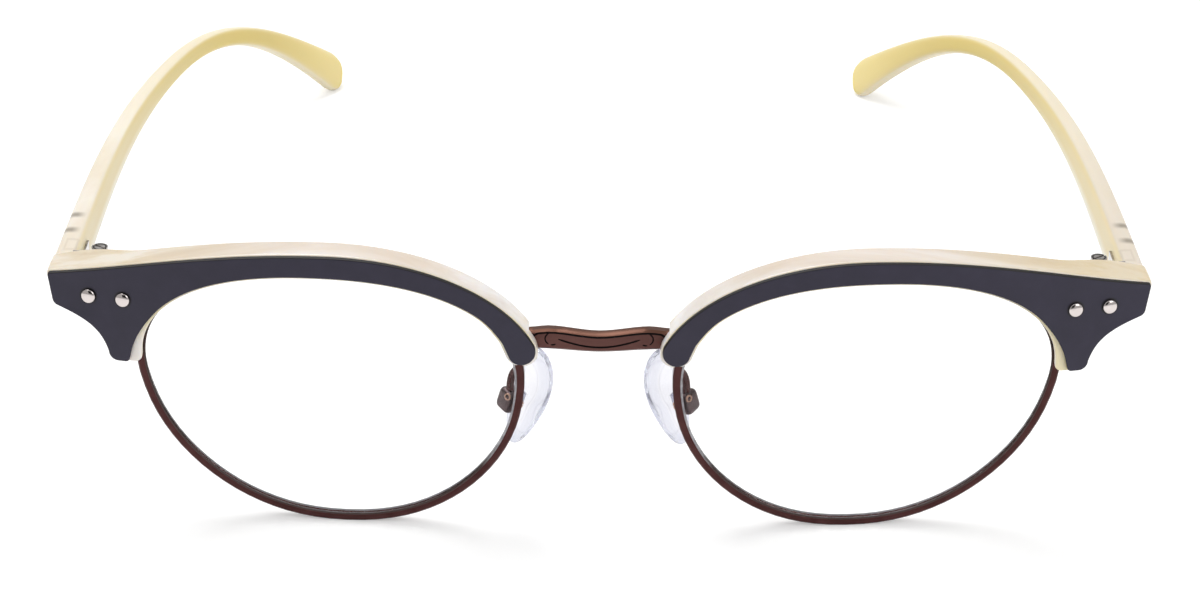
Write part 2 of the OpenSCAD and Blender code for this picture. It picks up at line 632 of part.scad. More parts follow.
arm_curve = [arm_start, arm_start + [0.3, 3.4, 0.2], arm_end + [0.2, 0.3, 2.6], arm_end];
arm_steps = 14;
function arm_ring(t) =
    let(d = unit(bezier(arm_curve, t + 0.01) - bezier(arm_curve, t - 0.01)),
        side = unit(cross(d, [1, 0, 0])), top = cross(side, d))
    [for (j = [0:9]) bezier(arm_curve, t) + arm_r * (cos(36 * j) * side + sin(36 * j) * top)];
module pad_arm() {
    skin([for (i = [0:arm_steps]) arm_ring(i / arm_steps)], fan(10));
    at_pad() difference() {
        translate([box_from, -box_w / 2, -box_h / 2]) cube([box_to - box_from, box_w, box_h]);
        translate([box_from - 1, -tab_t / 2 - 0.08, -box_h / 2 + 0.25])
            cube([box_to - box_from + 0.7, tab_t + 0.16, box_h - 0.5]);
        translate([pad_stem, 0, 0]) rotate([90, 0, 0])
            cylinder(h = box_w + 2, r = pad_screw_r + hole_gap, center = true, $fn = round_fn);
    }
}

// Everything is modelled on the wearer's left, then set on the middle of its bounding box
front_most = min([for (p = face_rings[0]) p[1]]);
back_most = max([for (r = temple_rings, p = r) p[1]]);
mid_y = (front_most + back_most) / 2;
module left() translate([0, -mid_y, 0]) children();
module right() translate([0, -mid_y, 0]) mirror([1, 0, 0]) children();

module bridge() left() bridge_part();
module brow_body_left() color(CREAM) left() brow_body();
module brow_body_right() color(CREAM) right() brow_body();
module brow_face_left() color(FACE_DARK) left() brow_face();
module brow_face_right() color(FACE_DARK) right() brow_face();
module front_studs_left() color(SILVER) left() front_studs();
module front_studs_right() color(SILVER) right() front_studs();
module brow_screws_left() color(STEEL) left() brow_screws();
module brow_screws_right() color(STEEL) right() brow_screws();
module rim_left() color(BRIDGE_BROWN) left() rim();
module rim_right() color(BRIDGE_BROWN) right() rim();
module rim_lock_screw_left() color(STEEL) left() rim_lock_screw();
module rim_lock_screw_right() color(STEEL) right() rim_lock_screw();
module lens_left() color(CLEAR) left() lens();
module lens_right() color(CLEAR) right() lens();
module pad_arm_left() color(BRIDGE_BROWN) left() pad_arm();
module pad_arm_right() color(BRIDGE_BROWN) right() pad_arm();
module nose_pad_left() color(PAD_CLEAR) left() nose_pad();
module nose_pad_right() color(PAD_CLEAR) right() nose_pad();
module pad_screw_left() color(STEEL) left() pad_screw();
module pad_screw_right() color(STEEL) right() pad_screw();
module hinge_front_leaf_left() color(STEEL) left() hinge_front_leaf();
module hinge_front_leaf_right() color(STEEL) right() hinge_front_leaf();
module hinge_temple_leaf_left() color(STEEL) left() hinge_temple_leaf();
module hinge_temple_leaf_right() color(STEEL) right() hinge_temple_leaf();
module hinge_screw_left() color(STEEL) left() hinge_screw();
module hinge_screw_right() color(STEEL) right() hinge_screw();
module temple_left() color(CREAM) left() temple();
module temple_right() color(CREAM) right() temple();
module temple_studs_left() color(SILVER) left() temple_studs();
module temple_studs_right() color(SILVER) right() temple_studs();

bridge();
brow_body_left();
brow_body_right();
brow_face_left();
brow_face_right();
front_studs_left();
front_studs_right();
brow_screws_left();
brow_screws_right();
rim_left();
rim_right();
rim_lock_screw_left();
rim_lock_screw_right();
lens_left();
lens_right();
pad_arm_left();
pad_arm_right();
nose_pad_left();
nose_pad_right();
pad_screw_left();
pad_screw_right();
hinge_front_leaf_left();
hinge_front_leaf_right();
hinge_temple_leaf_left();
hinge_temple_leaf_right();
hinge_screw_left();
hinge_screw_right();
temple_left();
temple_right();
temple_studs_left();
temple_studs_right();
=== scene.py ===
import math
import bpy
import bmesh
import numpy as np
from mathutils import Matrix, Vector
from mathutils.bvhtree import BVHTree


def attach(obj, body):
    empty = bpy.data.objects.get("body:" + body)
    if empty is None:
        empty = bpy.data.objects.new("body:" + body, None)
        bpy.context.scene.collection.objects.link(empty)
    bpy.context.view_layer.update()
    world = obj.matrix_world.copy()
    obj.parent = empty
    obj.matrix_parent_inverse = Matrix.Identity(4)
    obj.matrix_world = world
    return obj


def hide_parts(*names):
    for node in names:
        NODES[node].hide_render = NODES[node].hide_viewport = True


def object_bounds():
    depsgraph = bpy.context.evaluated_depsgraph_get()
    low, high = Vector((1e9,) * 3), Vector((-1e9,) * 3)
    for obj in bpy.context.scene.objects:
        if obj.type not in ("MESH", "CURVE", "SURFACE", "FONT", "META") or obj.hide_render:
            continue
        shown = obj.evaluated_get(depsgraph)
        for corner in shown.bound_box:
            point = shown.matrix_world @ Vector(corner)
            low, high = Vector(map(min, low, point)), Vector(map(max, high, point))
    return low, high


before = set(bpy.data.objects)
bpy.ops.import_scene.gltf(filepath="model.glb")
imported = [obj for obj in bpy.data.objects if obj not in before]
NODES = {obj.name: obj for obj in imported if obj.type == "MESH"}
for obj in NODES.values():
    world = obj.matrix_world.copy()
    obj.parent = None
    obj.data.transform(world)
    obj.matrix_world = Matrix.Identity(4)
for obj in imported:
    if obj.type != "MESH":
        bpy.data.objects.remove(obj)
cad_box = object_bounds()
MM = 0.001
MID_Y = 75.8423  # the Y in part.scad, in millimetres, that lies at Y = 0 in the shared frame


# ---------------------------------------------------------------- camera
def make_camera():
    """The photograph's own camera, solved from the outline. Angles are in radians."""
    pitch, yaw, roll = 0.472296, 0.0058566, 0.0130872
    x, y, z = -2.280, -393.674, 235.627
    photo_width, focal_pixels, sensor = 1200, 3550, 36
    pos = Vector((x, y - MID_Y, z)) * MM
    fwd = Vector((math.sin(yaw) * math.cos(pitch), math.cos(yaw) * math.cos(pitch), -math.sin(pitch)))
    level = Vector((math.cos(yaw), -math.sin(yaw), 0))
    above = level.cross(fwd)
    right = math.cos(roll) * level + math.sin(roll) * above
    up = -math.sin(roll) * level + math.cos(roll) * above
    cam = bpy.data.cameras.new("camera")
    cam.sensor_width = sensor
    cam.lens = focal_pixels / photo_width * sensor
    cam.clip_start = 0.01
    ob = bpy.data.objects.new("camera", cam)
    bpy.context.scene.collection.objects.link(ob)
    ob.matrix_world = Matrix((
        (right.x, up.x, -fwd.x, pos.x),
        (right.y, up.y, -fwd.y, pos.y),
        (right.z, up.z, -fwd.z, pos.z),
        (0, 0, 0, 1)))
    bpy.context.scene.camera = ob


make_camera()


# ---------------------------------------------------------------- small formulas
def smooth(t):
    t = min(max(t, 0.0), 1.0)
    return t * t * (3 - 2 * t)


def lerp(a, b, t):
    return a + (b - a) * t


def spow(v, p):
    return math.copysign(abs(v) ** p, v)


def cosd(a):
    return math.cos(math.radians(a))


def sind(a):
    return math.sin(math.radians(a))


def polar(a):
    return np.array([cosd(a), sind(a)])


def arc(c, r, a0, a1, n):
    return [c + r * polar(lerp(a0, a1, i / n)) for i in range(n + 1)]


def bezier(p, t):
    p = [np.asarray(q, float) for q in p]
    return (1 - t) ** 3 * p[0] + 3 * t * (1 - t) ** 2 * p[1] + 3 * t * t * (1 - t) * p[2] + t ** 3 * p[3]


def curve(p, n):
    """Points of a Bezier curve, without its first one."""
    return [bezier(p, i / n) for i in range(1, n + 1)]


# ---------------------------------------------------------------- sizes in millimetres, as in part.scad
EYE_W, EYE_H, EYE_GAP = 47.7, 35.75, 20.3
EYE_POWER, EYE_EGG, EYE_LEAN = 2.216, 0.17, 1.465
WIRE_T, WIRE_D, WIRE_SEAT = 1.0, 1.8, 2.3
BASE_R, WRAP = 180.0, 4.0
BROW_RISE, CORNER_DROP, END_REACH = 2.7, 5.1, 12.25
FACE_T, BODY_T, END_D, EDGE_R = 0.6, 4.4, 5.7, 0.9
BODY_STEP, SEAT_GAP = 0.18, 0.06
NASAL_R, NASAL_FROM, NASAL_LAP, NASAL_JOIN = 1.75, 157, 0.55, 152
END_H, END_LEAN, LOBE_DROP, LOBE_GAP, LOBE_LAP = 4.4, 0.5, 11.1, 0.6, 0.6
LOBE_AT = 17  # the angle round the lens at which the lobe's foot and the closing block sit
STUD_IN, STUD_DOWN, STUD_GAP = 5.3, 2.5, 4.45
BRIDGE_H, BRIDGE_DOWN = 2.5, 0.6
BLOCK_W, BLOCK_H = 2.3, 5.2
HINGE_IN, HINGE_BACK, KNUCKLE_DROP, HINGE_STACK, PLATE_W = 3.0, 2.1, 0.5, 4.6, 3.8
TEMPLE_LEN, STRAIGHT, BEND_LEN, BEND = 140.0, 85.3, 80.2, 64.4
SLOPE = 4.92504  # degrees, which part.scad solves so that the temple's tip touches the floor
BOW_IN, BOW_POWER = 27.1, 3.74
TEMPLE_H, BEND_H, TIP_H, TIP_R = 6.4, 2.9, 7.7, 3.2
TEMPLE_T, TIP_T = 3.2, 2.1
TEMPLE_OUT, TEMPLE_DROP, BUTT_GAP = 0.5, 1.1, 0.25
TEMPLE_STUDS = (13.2, 17.9)  # behind the hinge's axis
PAD_LEN, PAD_W, PAD_STEM, PAD_SPLAY, PAD_FLARE = 14.0, 8.0, 2.6, 35.0, 15.8
TAB_T, TAB_R, ARM_R = 1.2, 0.9, 0.5
BOX_W, BOX_H = 2.7, 3.0

# Here the scene meets the photo more closely than part.scad, which has 2.7, 0.45, -0.15 and 0.6.
LOBE_W, LOBE_SHELF, LIP, FACE_LAP = 3.2, 0.6, -0.42, 1.08

SEAT_LAP = WIRE_T / 2 + SEAT_GAP + 0.04
LENS_CX, LENS_CZ = EYE_GAP / 2 + EYE_W / 2, EYE_H / 2 + WIRE_T / 2
PEAK = (LENS_CX + 0.2, LENS_CZ + EYE_H / 2 + BROW_RISE)
CORNER = (EYE_GAP / 2 + EYE_W + END_REACH, PEAK[1] - CORNER_DROP)
FOOT_Z = CORNER[1] - LOBE_DROP
FRONT_Y = MID_Y + cad_box[0][1] / MM
PAD_AT = (9.2, 10.3045, LENS_CZ - 2.3)  # the pad's middle
BOX_FROM, BOX_TO = PAD_STEM - 0.9, PAD_STEM + 1.4


def face_y(x, z):
    """Depth of the curved front at a point."""
    return math.tan(math.radians(WRAP)) * x + ((x - LENS_CX) ** 2 + (z - LENS_CZ) ** 2) / (2 * BASE_R)


def eye_at(a):
    """Edge of the lens opening at an angle, as (x, z)."""
    x, z = spow(cosd(a), 2 / EYE_POWER), spow(sind(a), 2 / EYE_POWER)
    return np.array([LENS_CX + EYE_W / 2 * x * (1 + EYE_EGG * z) + EYE_LEAN * z, LENS_CZ + EYE_H / 2 * z])


def eye_off(a, r):
    """The same edge, moved outward."""
    t = eye_at(a + 0.5) - eye_at(a - 0.5)
    t = t / np.linalg.norm(t)
    return eye_at(a) + r * np.array([t[1], -t[0]])


def eye_side(z):
    """X of the lens opening's edge by the nose, at a height."""
    v = (z - LENS_CZ) / (EYE_H / 2)
    w = (1 - abs(v) ** EYE_POWER) ** (1 / EYE_POWER)
    return LENS_CX - EYE_W / 2 * w * (1 + EYE_EGG * v) + EYE_LEAN * v


NASAL_C = eye_off(NASAL_FROM, NASAL_R - NASAL_LAP)
END_BACK = face_y(*CORNER) + END_D
TEMPLE_X, TEMPLE_Y = CORNER[0] + TEMPLE_OUT, END_BACK + BUTT_GAP
TEMPLE_MID_Z = CORNER[1] - TEMPLE_DROP - TEMPLE_H / 2
HINGE_X, HINGE_Y = TEMPLE_X - TEMPLE_T - HINGE_IN, END_BACK + HINGE_BACK
HINGE_TOP = CORNER[1] - KNUCKLE_DROP
BRIDGE_Z = NASAL_C[1] - BRIDGE_DOWN
BRIDGE_END = eye_side(BRIDGE_Z + BRIDGE_H / 2) - 0.4
BRIDGE_Y = face_y(BRIDGE_END, BRIDGE_Z + BRIDGE_H / 2) + WIRE_SEAT + 0.02
BLOCK_X, BLOCK_Z = eye_off(LOBE_AT, 0)[0] + 0.08, LENS_CZ + EYE_H / 2 * 0.28
BLOCK_Y = face_y(BLOCK_X + BLOCK_W / 2, BLOCK_Z + BLOCK_H / 2) + WIRE_SEAT + 0.1


def brow_outer(out):
    """Outer edge of a brow, moved outward: under the nasal end, over the top and down to the lobe's foot."""
    tip_r, under = NASAL_R + out, 2.2 * max(out, 0)
    tip = NASAL_C + tip_r * polar(NASAL_JOIN)
    top = np.array([PEAK[0], PEAK[1] + out])
    half, end = PEAK[0] - tip[0], CORNER[0] - PEAK[0]
    corner_r, low_r, foot_r = max(0.4 + out, 0.05), max(1 + out, 0.1), max(1.2 + out, 0.1)
    corner = np.array(CORNER) + out - corner_r
    low = np.array(CORNER) + np.array([out - END_LEAN - low_r, low_r - out - END_H])
    foot = np.array([eye_off(LOBE_AT, LOBE_GAP)[0] + LOBE_W + out - foot_r, FOOT_Z - out + foot_r])
    start = low + low_r * polar(-68)
    stop = foot + np.array([foot_r, 0])
    up = corner + np.array([0, corner_r])
    rise = (tip, tip + 0.28 * half * polar(62), top - np.array([0.49 * half, 0]), top)
    fall = (top, top + np.array([0.39 * end, 0]), up + 0.3 * end * np.array([-1, 0.18]), up)
    sweep = (start, start - LOBE_DROP * np.array([0.33, 0.12]),
             stop + LOBE_DROP * np.array([0.08, 0.28]), stop)
    nose = [NASAL_C + (tip_r + under * smooth((a - 165) / 60)) * polar(a)
            for a in np.linspace(262, NASAL_JOIN, 16)]
    return (nose + curve(rise, 39) + curve(fall, 36) + arc(corner, corner_r, 78, 0, 6)
            + arc(low, low_r, -5, -68, 9) + curve(sweep, 21) + arc(foot, foot_r, -12, -90, 9))


def brow_inner(out, lap, lobe):
    """Inner edge, with as many points: `lap` outside the lens opening, and `lobe` outside it at the lobe."""
    is_face = lobe > 0.7
    foot_r, fade = (0.6, 8) if is_face else (0.85, 4)
    foot = np.array([eye_off(LOBE_AT, lobe)[0] + foot_r, FOOT_Z - out + foot_r])
    tuck = 0.3 if lap < 0.3 else 0.0
    pts = [NASAL_C + (NASAL_R - lap / 2) * polar(272)] + arc(NASAL_C, NASAL_R - lap, 290, 345, 14)
    for k in range(16, 129):
        # each point's angle round the lens, so that it faces the same number on the outer edge
        a = float(np.interp(k, [16, 54, 90, 128], [150, 93, 40, LOBE_AT]))
        e = eye_at(a)
        share = 0.0 if e[0] < LENS_CX else smooth((FOOT_Z + 7 - e[1]) / fade)
        pts.append(eye_off(a, lerp(lap, lobe, share) - tuck * smooth((a - 135) / 15)))
    return pts + arc(foot, foot_r, 190, 270, 9)


def taper(x, share):
    """Draws a brow's outer end in towards the back."""
    return x - 0.2 * share * smooth((x - CORNER[0] + 10) / 8)


def front_ring(out, lap, lobe, depth):
    """A brow's outline at a depth behind the curved front."""
    ring = []
    for p in brow_outer(out) + brow_inner(out, lap, lobe)[::-1]:
        x = taper(p[0], depth / 12)
        ring.append((x, face_y(x, p[1]) + depth, p[1]))
    return ring


def back_ring(out, lap, ahead):
    """A brow's outline at a distance ahead of its back, which turns flat towards the hinge."""
    ring = []
    for p in brow_outer(out) + brow_inner(out, lap, lap)[::-1]:
        flat = smooth((p[0] - CORNER[0] + 12) / 10)
        back = lerp(face_y(p[0], p[1]) + FACE_T + BODY_T, END_BACK, flat)
        ring.append((taper(p[0], 1), back - ahead, p[1]))
    return ring


# ---------------------------------------------------------------- material helpers
class Mat:
    """A node material: a Principled shader and short ways to add nodes to it."""

    def __init__(self, name):
        self.m = bpy.data.materials.new(name)
        self.m.use_nodes = True
        self.t = self.m.node_tree
        self.p = self.t.nodes["Principled BSDF"]

    def node(self, kind, **settings):
        n = self.t.nodes.new(kind)
        for key, value in settings.items():
            setattr(n, key, value)
        return n

    def link(self, a, b):
        self.t.links.new(a, b)

    def set(self, **values):
        for key, value in values.items():
            self.p.inputs[key.replace("_", " ")].default_value = value

    def coords(self, scale=(1, 1, 1)):
        c = self.node("ShaderNodeTexCoord")
        m = self.node("ShaderNodeMapping")
        m.inputs["Scale"].default_value = scale
        self.link(c.outputs["Object"], m.inputs["Vector"])
        return m.outputs["Vector"]

    def place(self):
        """The object's own X, Y and Z, in metres."""
        s = self.node("ShaderNodeSeparateXYZ")
        self.link(self.coords(), s.inputs[0])
        return s.outputs

    def normal(self):
        """The object's own normal, so that colour follows the shape and not the camera."""
        s = self.node("ShaderNodeSeparateXYZ")
        self.link(self.node("ShaderNodeTexCoord").outputs["Normal"], s.inputs[0])
        return s.outputs

    def noise(self, scale, detail=4, rough=0.5, distortion=0.0, stretch=(1, 1, 1)):
        n = self.node("ShaderNodeTexNoise")
        n.inputs["Scale"].default_value = scale
        n.inputs["Detail"].default_value = detail
        n.inputs["Roughness"].default_value = rough
        n.inputs["Distortion"].default_value = distortion
        self.link(self.coords(stretch), n.inputs["Vector"])
        return n.outputs["Fac"]

    def ramp(self, fac, stops):
        r = self.node("ShaderNodeValToRGB")
        e = r.color_ramp.elements
        while len(e) < len(stops):
            e.new(0.5)
        for i, (pos, colour) in enumerate(stops):
            e[i].position = pos
            e[i].color = (*colour, 1)
        self.link(fac, r.inputs["Fac"])
        return r.outputs["Color"]

    def mix(self, fac, a, b):
        """Colour a where fac is 0 and b where it is 1. Each colour is a socket or three numbers."""
        n = self.node("ShaderNodeMix", data_type="RGBA")
        self.link(fac, n.inputs[0])
        for colour, k in ((a, 6), (b, 7)):
            if isinstance(colour, bpy.types.NodeSocket):
                self.link(colour, n.inputs[k])
            else:
                n.inputs[k].default_value = (*colour, 1)
        return n.outputs[2]

    def span(self, value, lo, hi, to_lo=0.0, to_hi=1.0):
        n = self.node("ShaderNodeMapRange", clamp=True)
        for key, v in (("From Min", lo), ("From Max", hi), ("To Min", to_lo), ("To Max", to_hi)):
            n.inputs[key].default_value = v
        self.link(value, n.inputs["Value"])
        return n.outputs["Result"]

    def calc(self, op, a, b=None):
        n = self.node("ShaderNodeMath", operation=op)
        for i, v in enumerate((a, b)):
            if isinstance(v, bpy.types.NodeSocket):
                self.link(v, n.inputs[i])
            elif v is not None:
                n.inputs[i].default_value = v
        return n.outputs[0]

    def times(self, a, b):
        return self.calc("MULTIPLY", a, b)

    def minus(self, a, b):
        return self.calc("SUBTRACT", a, b)

    def size(self, a):
        return self.calc("ABSOLUTE", a)

    def length(self, a, b):
        return self.calc("SQRT", self.calc("ADD", self.times(a, a), self.times(b, b)))

    def bump(self, fac, strength, distance):
        b = self.node("ShaderNodeBump")
        b.inputs["Strength"].default_value = strength
        b.inputs["Distance"].default_value = distance
        self.link(fac, b.inputs["Height"])
        self.link(b.outputs["Normal"], self.p.inputs["Normal"])

    def base(self, col):
        self.link(col, self.p.inputs["Base Color"])


# ---------------------------------------------------------------- materials
def acetate(m, rough=0.22, coat=0.2, shine=0.5):
    m.set(Roughness=rough, Coat_Weight=coat, Coat_Roughness=0.05, IOR=1.49, Specular_IOR_Level=shine,
          Subsurface_Weight=0.25, Subsurface_Scale=0.0012, Subsurface_Radius=(1.0, 0.8, 0.5))
    m.bump(m.noise(900, 3, 0.5), 0.03, 0.0001)


def brow_cream():
    """Pearl acetate of the brow: pink-white over the eye, creamier at its ends, yellow on its front edge.
    Faces turned away from the top are painted a lighter plain cream, and front faces low on the lobe
    near-white, as painted light against their shade.
    """
    m = Mat("brow_cream")
    normal, at = m.normal(), m.place()
    side, from_middle = m.calc("SIGN", at["X"]), m.size(at["X"])
    streak = m.noise(62, 6, 0.62, 2.2, (0.3, 1.1, 1.5))
    cloud = m.noise(38, 3, 0.5, 1.2, (0.5, 1, 1))
    middle = m.ramp(streak, [(0.32, (0.72, 0.62, 0.51)), (0.5, (0.79, 0.71, 0.63)),
                             (0.62, (0.86, 0.81, 0.77))])
    ends = m.ramp(streak, [(0.34, (0.66, 0.53, 0.34)), (0.5, (0.77, 0.67, 0.49)), (0.6, (0.86, 0.80, 0.69))])
    ends = m.mix(m.span(side, -1, 1, 0, 0.5), ends, (0.68, 0.52, 0.27))
    pearl = m.mix(m.span(from_middle, 0.040, 0.062), middle, ends)
    pearl = m.mix(m.span(cloud, 0.42, 0.68, 0, 0.5), pearl, (0.80, 0.66, 0.53))
    by_nose = m.times(m.span(from_middle, 0.020, 0.0115), m.span(streak, 0.3, 0.6, 0.25, 0.8))
    pearl = m.mix(by_nose, pearl, (0.95, 0.93, 0.92))
    # Painted light: a lighter plain cream on faces turned sideways and down, where shade would fall.
    body = m.mix(m.span(normal["Z"], -0.2, 0.5), (0.94, 0.82, 0.66), pearl)
    edge = m.mix(m.span(streak, 0.3, 0.7), (0.86, 0.75, 0.55), (0.92, 0.85, 0.74))
    # Painted light: the front faces low on the lobe are lifted to near-white, pinker at the foot.
    pink = m.times(m.span(at["Z"], 0.0285, 0.0250), m.span(at["X"], 0.040, 0.030))
    low_edge = m.mix(pink, (1.0, 0.86, 0.58), (1.0, 0.92, 0.87))
    edge = m.mix(m.span(at["Z"], 0.0325, 0.0305), edge, low_edge)
    m.base(m.mix(m.span(normal["Y"], -0.30, -0.75), body, edge))
    acetate(m)
    return m.m


def temple_cream():
    """The same acetate on the temples: pearly on top and outside, yellow inside, pale low on the inside."""
    m = Mat("temple_cream")
    normal, at = m.normal(), m.place()
    side, from_middle = m.calc("SIGN", at["X"]), m.size(at["X"])
    streak = m.noise(60, 5, 0.6, 1.0, (1.4, 0.2, 1.2))
    pearl = m.ramp(streak, [(0.30, (0.76, 0.67, 0.53)), (0.5, (0.82, 0.74, 0.62)),
                            (0.68, (0.88, 0.83, 0.76))])
    # Painted shade: the temple at +X is darkened toward a greyer cream on its top and outside.
    pearl = m.mix(m.span(side, -1, 1, 0, 0.4), pearl, (0.66, 0.59, 0.51))
    far = m.span(at["Y"], -0.045, 0.045)
    inner = m.mix(far, (0.82, 0.68, 0.38), (0.79, 0.63, 0.21))
    inner = m.mix(m.span(at["Y"], 0.058, 0.072), inner, (0.96, 0.79, 0.29))
    cloud = m.span(m.noise(45, 3, 0.5), 0.35, 0.65, 0, 0.35)
    inner = m.mix(cloud, inner, m.mix(far, (0.86, 0.76, 0.52), (0.76, 0.60, 0.21)))
    up = m.node("ShaderNodeAttribute", attribute_name="up").outputs["Fac"]
    pale = m.times(m.span(up, -0.05, -0.7), m.span(far, 0.3, 0.75, 0.85, 0.0))
    inner = m.mix(pale, inner, (0.98, 0.95, 0.88))
    outer = m.mix(far, pearl, (0.88, 0.79, 0.58))
    outward = m.times(normal["X"], side)
    body = m.mix(m.span(outward, -0.55, -0.93), outer, inner)
    # The rivets' shanks, seen at a slant through the milky top and so nearer the hinge than they are.
    for along, slant in zip(TEMPLE_STUDS, (4.1, 3.1)):
        shank_y = (HINGE_Y + along - slant - MID_Y) * MM
        band = m.span(m.size(m.minus(at["Y"], shank_y)), 0.0013, 0.0003)
        reach = m.span(from_middle, (TEMPLE_X - 2.5) * MM, (TEMPLE_X - 1.3) * MM)
        top = m.span(normal["Z"], 0.3, 0.8, 0, 0.8)
        body = m.mix(m.times(m.times(band, reach), top), body, (0.26, 0.22, 0.17))
    # The faint outline of a square under the top, near the hinge.
    square_x, square_y = (TEMPLE_X - 1.95) * MM, (TEMPLE_Y + 5.6 - MID_Y) * MM
    over_x = m.calc("DIVIDE", m.size(m.minus(from_middle, square_x)), 0.0007)
    over_y = m.calc("DIVIDE", m.size(m.minus(at["Y"], square_y)), 0.0018)
    from_edge = m.size(m.minus(m.calc("MAXIMUM", over_x, over_y), 1.0))
    square = m.times(m.span(from_edge, 0.34, 0.06, 0, 0.28), m.span(normal["Z"], 0.3, 0.8))
    body = m.mix(square, body, (0.50, 0.42, 0.32))
    # The dark line where the temple's end meets the brow.
    joint = m.span(at["Y"], (TEMPLE_Y + 0.55 - MID_Y) * MM, (TEMPLE_Y + 0.2 - MID_Y) * MM, 0, 0.6)
    m.base(m.mix(joint, body, (0.34, 0.24, 0.15)))
    acetate(m, 0.34, 0.0, 0.16)
    return m.m


def dark_acetate():
    """The brow's thin front layer: blue-black, with its eased edges and sides painted black as shade, and a
    ring of painted shadow round each stud.
    """
    m = Mat("dark_acetate")
    normal, at = m.normal(), m.place()
    face = m.ramp(m.noise(260, 6, 0.6), [(0.3, (0.017, 0.014, 0.033)), (0.55, (0.021, 0.017, 0.039)),
                                         (0.8, (0.026, 0.022, 0.046))])
    # Painted shadow: a black ring round each stud, where it meets the layer.
    for i in range(2):
        dx = m.minus(m.size(at["X"]), (CORNER[0] - STUD_IN - STUD_GAP * i) * MM)
        dz = m.minus(at["Z"], (CORNER[1] - STUD_DOWN) * MM)
        face = m.mix(m.span(m.length(dx, dz), 0.00122, 0.00100, 0, 0.85), face, (0.003, 0.002, 0.002))
    # Painted shade: faces turned away from the front, the eased edges and sides, are near-black.
    m.base(m.mix(m.span(normal["Y"], -0.95, -0.80), face, (0.005, 0.003, 0.004)))
    m.set(Roughness=0.46, IOR=1.46)
    m.bump(m.noise(1500, 3, 0.6), 0.06, 0.00005)
    return m.m


def metal(name, dark, light, rough, scale=420, stretch=(1, 1, 1), metallic=1.0, top=None):
    """Metal between two colours, with a third one painted on its upward faces as a highlight where `top` is
    given.
    """
    m = Mat(name)
    col = m.ramp(m.noise(scale, 5, 0.6, 0, stretch), [(0.3, dark), (0.7, light)])
    # Painted highlight: the upward faces get the lighter `top` colour.
    if top:
        col = m.mix(m.span(m.normal()["Z"], 0.25, 0.6), col, top)
    m.base(col)
    r = m.span(m.noise(scale * 2.3, 4, 0.6, 0, stretch), 0.3, 0.7, rough * 0.85, rough * 1.15)
    m.link(r, m.p.inputs["Roughness"])
    m.set(Metallic=metallic)
    m.bump(m.noise(scale * 5, 3, 0.6, 0, stretch), 0.05, 0.00004)
    return m.m


def hinge_steel():
    """Turned steel with rings of painted shade round the hinge's axis on its upward faces, at the screw
    head's edge and at the knuckles' edge.
    """
    m = Mat("hinge_steel")
    at = m.place()
    dx = m.minus(m.size(at["X"]), HINGE_X * MM)
    dy = m.minus(at["Y"], (HINGE_Y - MID_Y) * MM)
    r = m.length(dx, dy)
    col = m.ramp(m.noise(700, 5, 0.6, 0, (1, 1, 4)), [(0.35, (0.30, 0.28, 0.26)), (0.65, (0.66, 0.63, 0.61))])
    up = m.span(m.normal()["Z"], 0.4, 0.8)
    # Painted shade: dark rings on upward faces at the screw head's edge and at the knuckles' edge.
    for ring, half in ((0.8, 0.16), (1.45, 0.22)):
        near = m.size(m.minus(r, ring * MM))
        dark = m.times(m.span(near, half * MM, half * 0.4 * MM, 0, 0.92), up)
        col = m.mix(dark, col, (0.022, 0.017, 0.014))
    m.base(col)
    m.set(Metallic=1.0, Roughness=0.2)
    return m.m


def clear_lens():
    """Coated glass. The low index keeps its reflections as faint as in the photo."""
    m = Mat("clear_lens")
    m.base(m.ramp(m.noise(30, 2, 0.5), [(0.2, (0.985, 0.99, 0.99)), (0.8, (1.0, 1.0, 1.0))]))
    m.set(Roughness=0.0, IOR=1.22, Transmission_Weight=1.0)
    return m.m


def frosted(name, grain, shades, dark, clear, rough, ior, bump):
    """The lens's ground edge: light comes through it next to the nose, and the rest of it stays dark."""
    m = Mat(name)
    nasal = m.span(m.size(m.place()["X"]), (LENS_CX - 0.8 * EYE_W / 2) * MM,
                   (LENS_CX - 0.9 * EYE_W / 2) * MM)
    light = m.ramp(m.noise(grain, 4, 0.7), [(0.35, shades[0]), (0.65, shades[1])])
    m.base(m.mix(nasal, dark, light))
    m.link(m.span(nasal, 0, 1, *clear), m.p.inputs["Transmission Weight"])
    m.set(Roughness=rough, IOR=ior)
    m.bump(m.noise(2500, 3, 0.7), *bump)
    return m.m


def clear_silicone():
    """The nose pad. Its thick rounded rim looks faintly blue, with a line of painted shade and a line of
    painted highlight in it.
    """
    m = Mat("clear_silicone")
    rim = m.node("ShaderNodeAttribute", attribute_name="rim").outputs["Fac"]
    cloud = m.ramp(m.noise(160, 3, 0.5, 0.4), [(0.3, (0.88, 0.88, 0.93)), (0.7, (0.93, 0.93, 0.97))])
    # Painted light: across the rim, a darker line of painted shade, then a lighter line of painted highlight.
    lines = m.ramp(rim, [(0.24, (0.90, 0.90, 0.95)), (0.30, (0.68, 0.68, 0.77)), (0.37, (0.96, 0.96, 0.98)),
                         (0.46, (0.84, 0.85, 0.93)), (1.0, (0.80, 0.82, 0.92))])
    m.base(m.mix(m.span(rim, 0.15, 0.3), cloud, lines))
    m.link(m.span(rim, 0.1, 0.9, 0.88, 0.76), m.p.inputs["Transmission Weight"])
    m.set(Roughness=0.1, IOR=1.25)
    m.bump(m.noise(420, 3, 0.5), 0.02, 0.0001)
    return m.m


BROW_CREAM = brow_cream()
TEMPLE_CREAM = temple_cream()
DARK = dark_acetate()
BROWN = metal("brown_metal", (0.056, 0.022, 0.021), (0.080, 0.033, 0.032), 0.36, metallic=0.95)
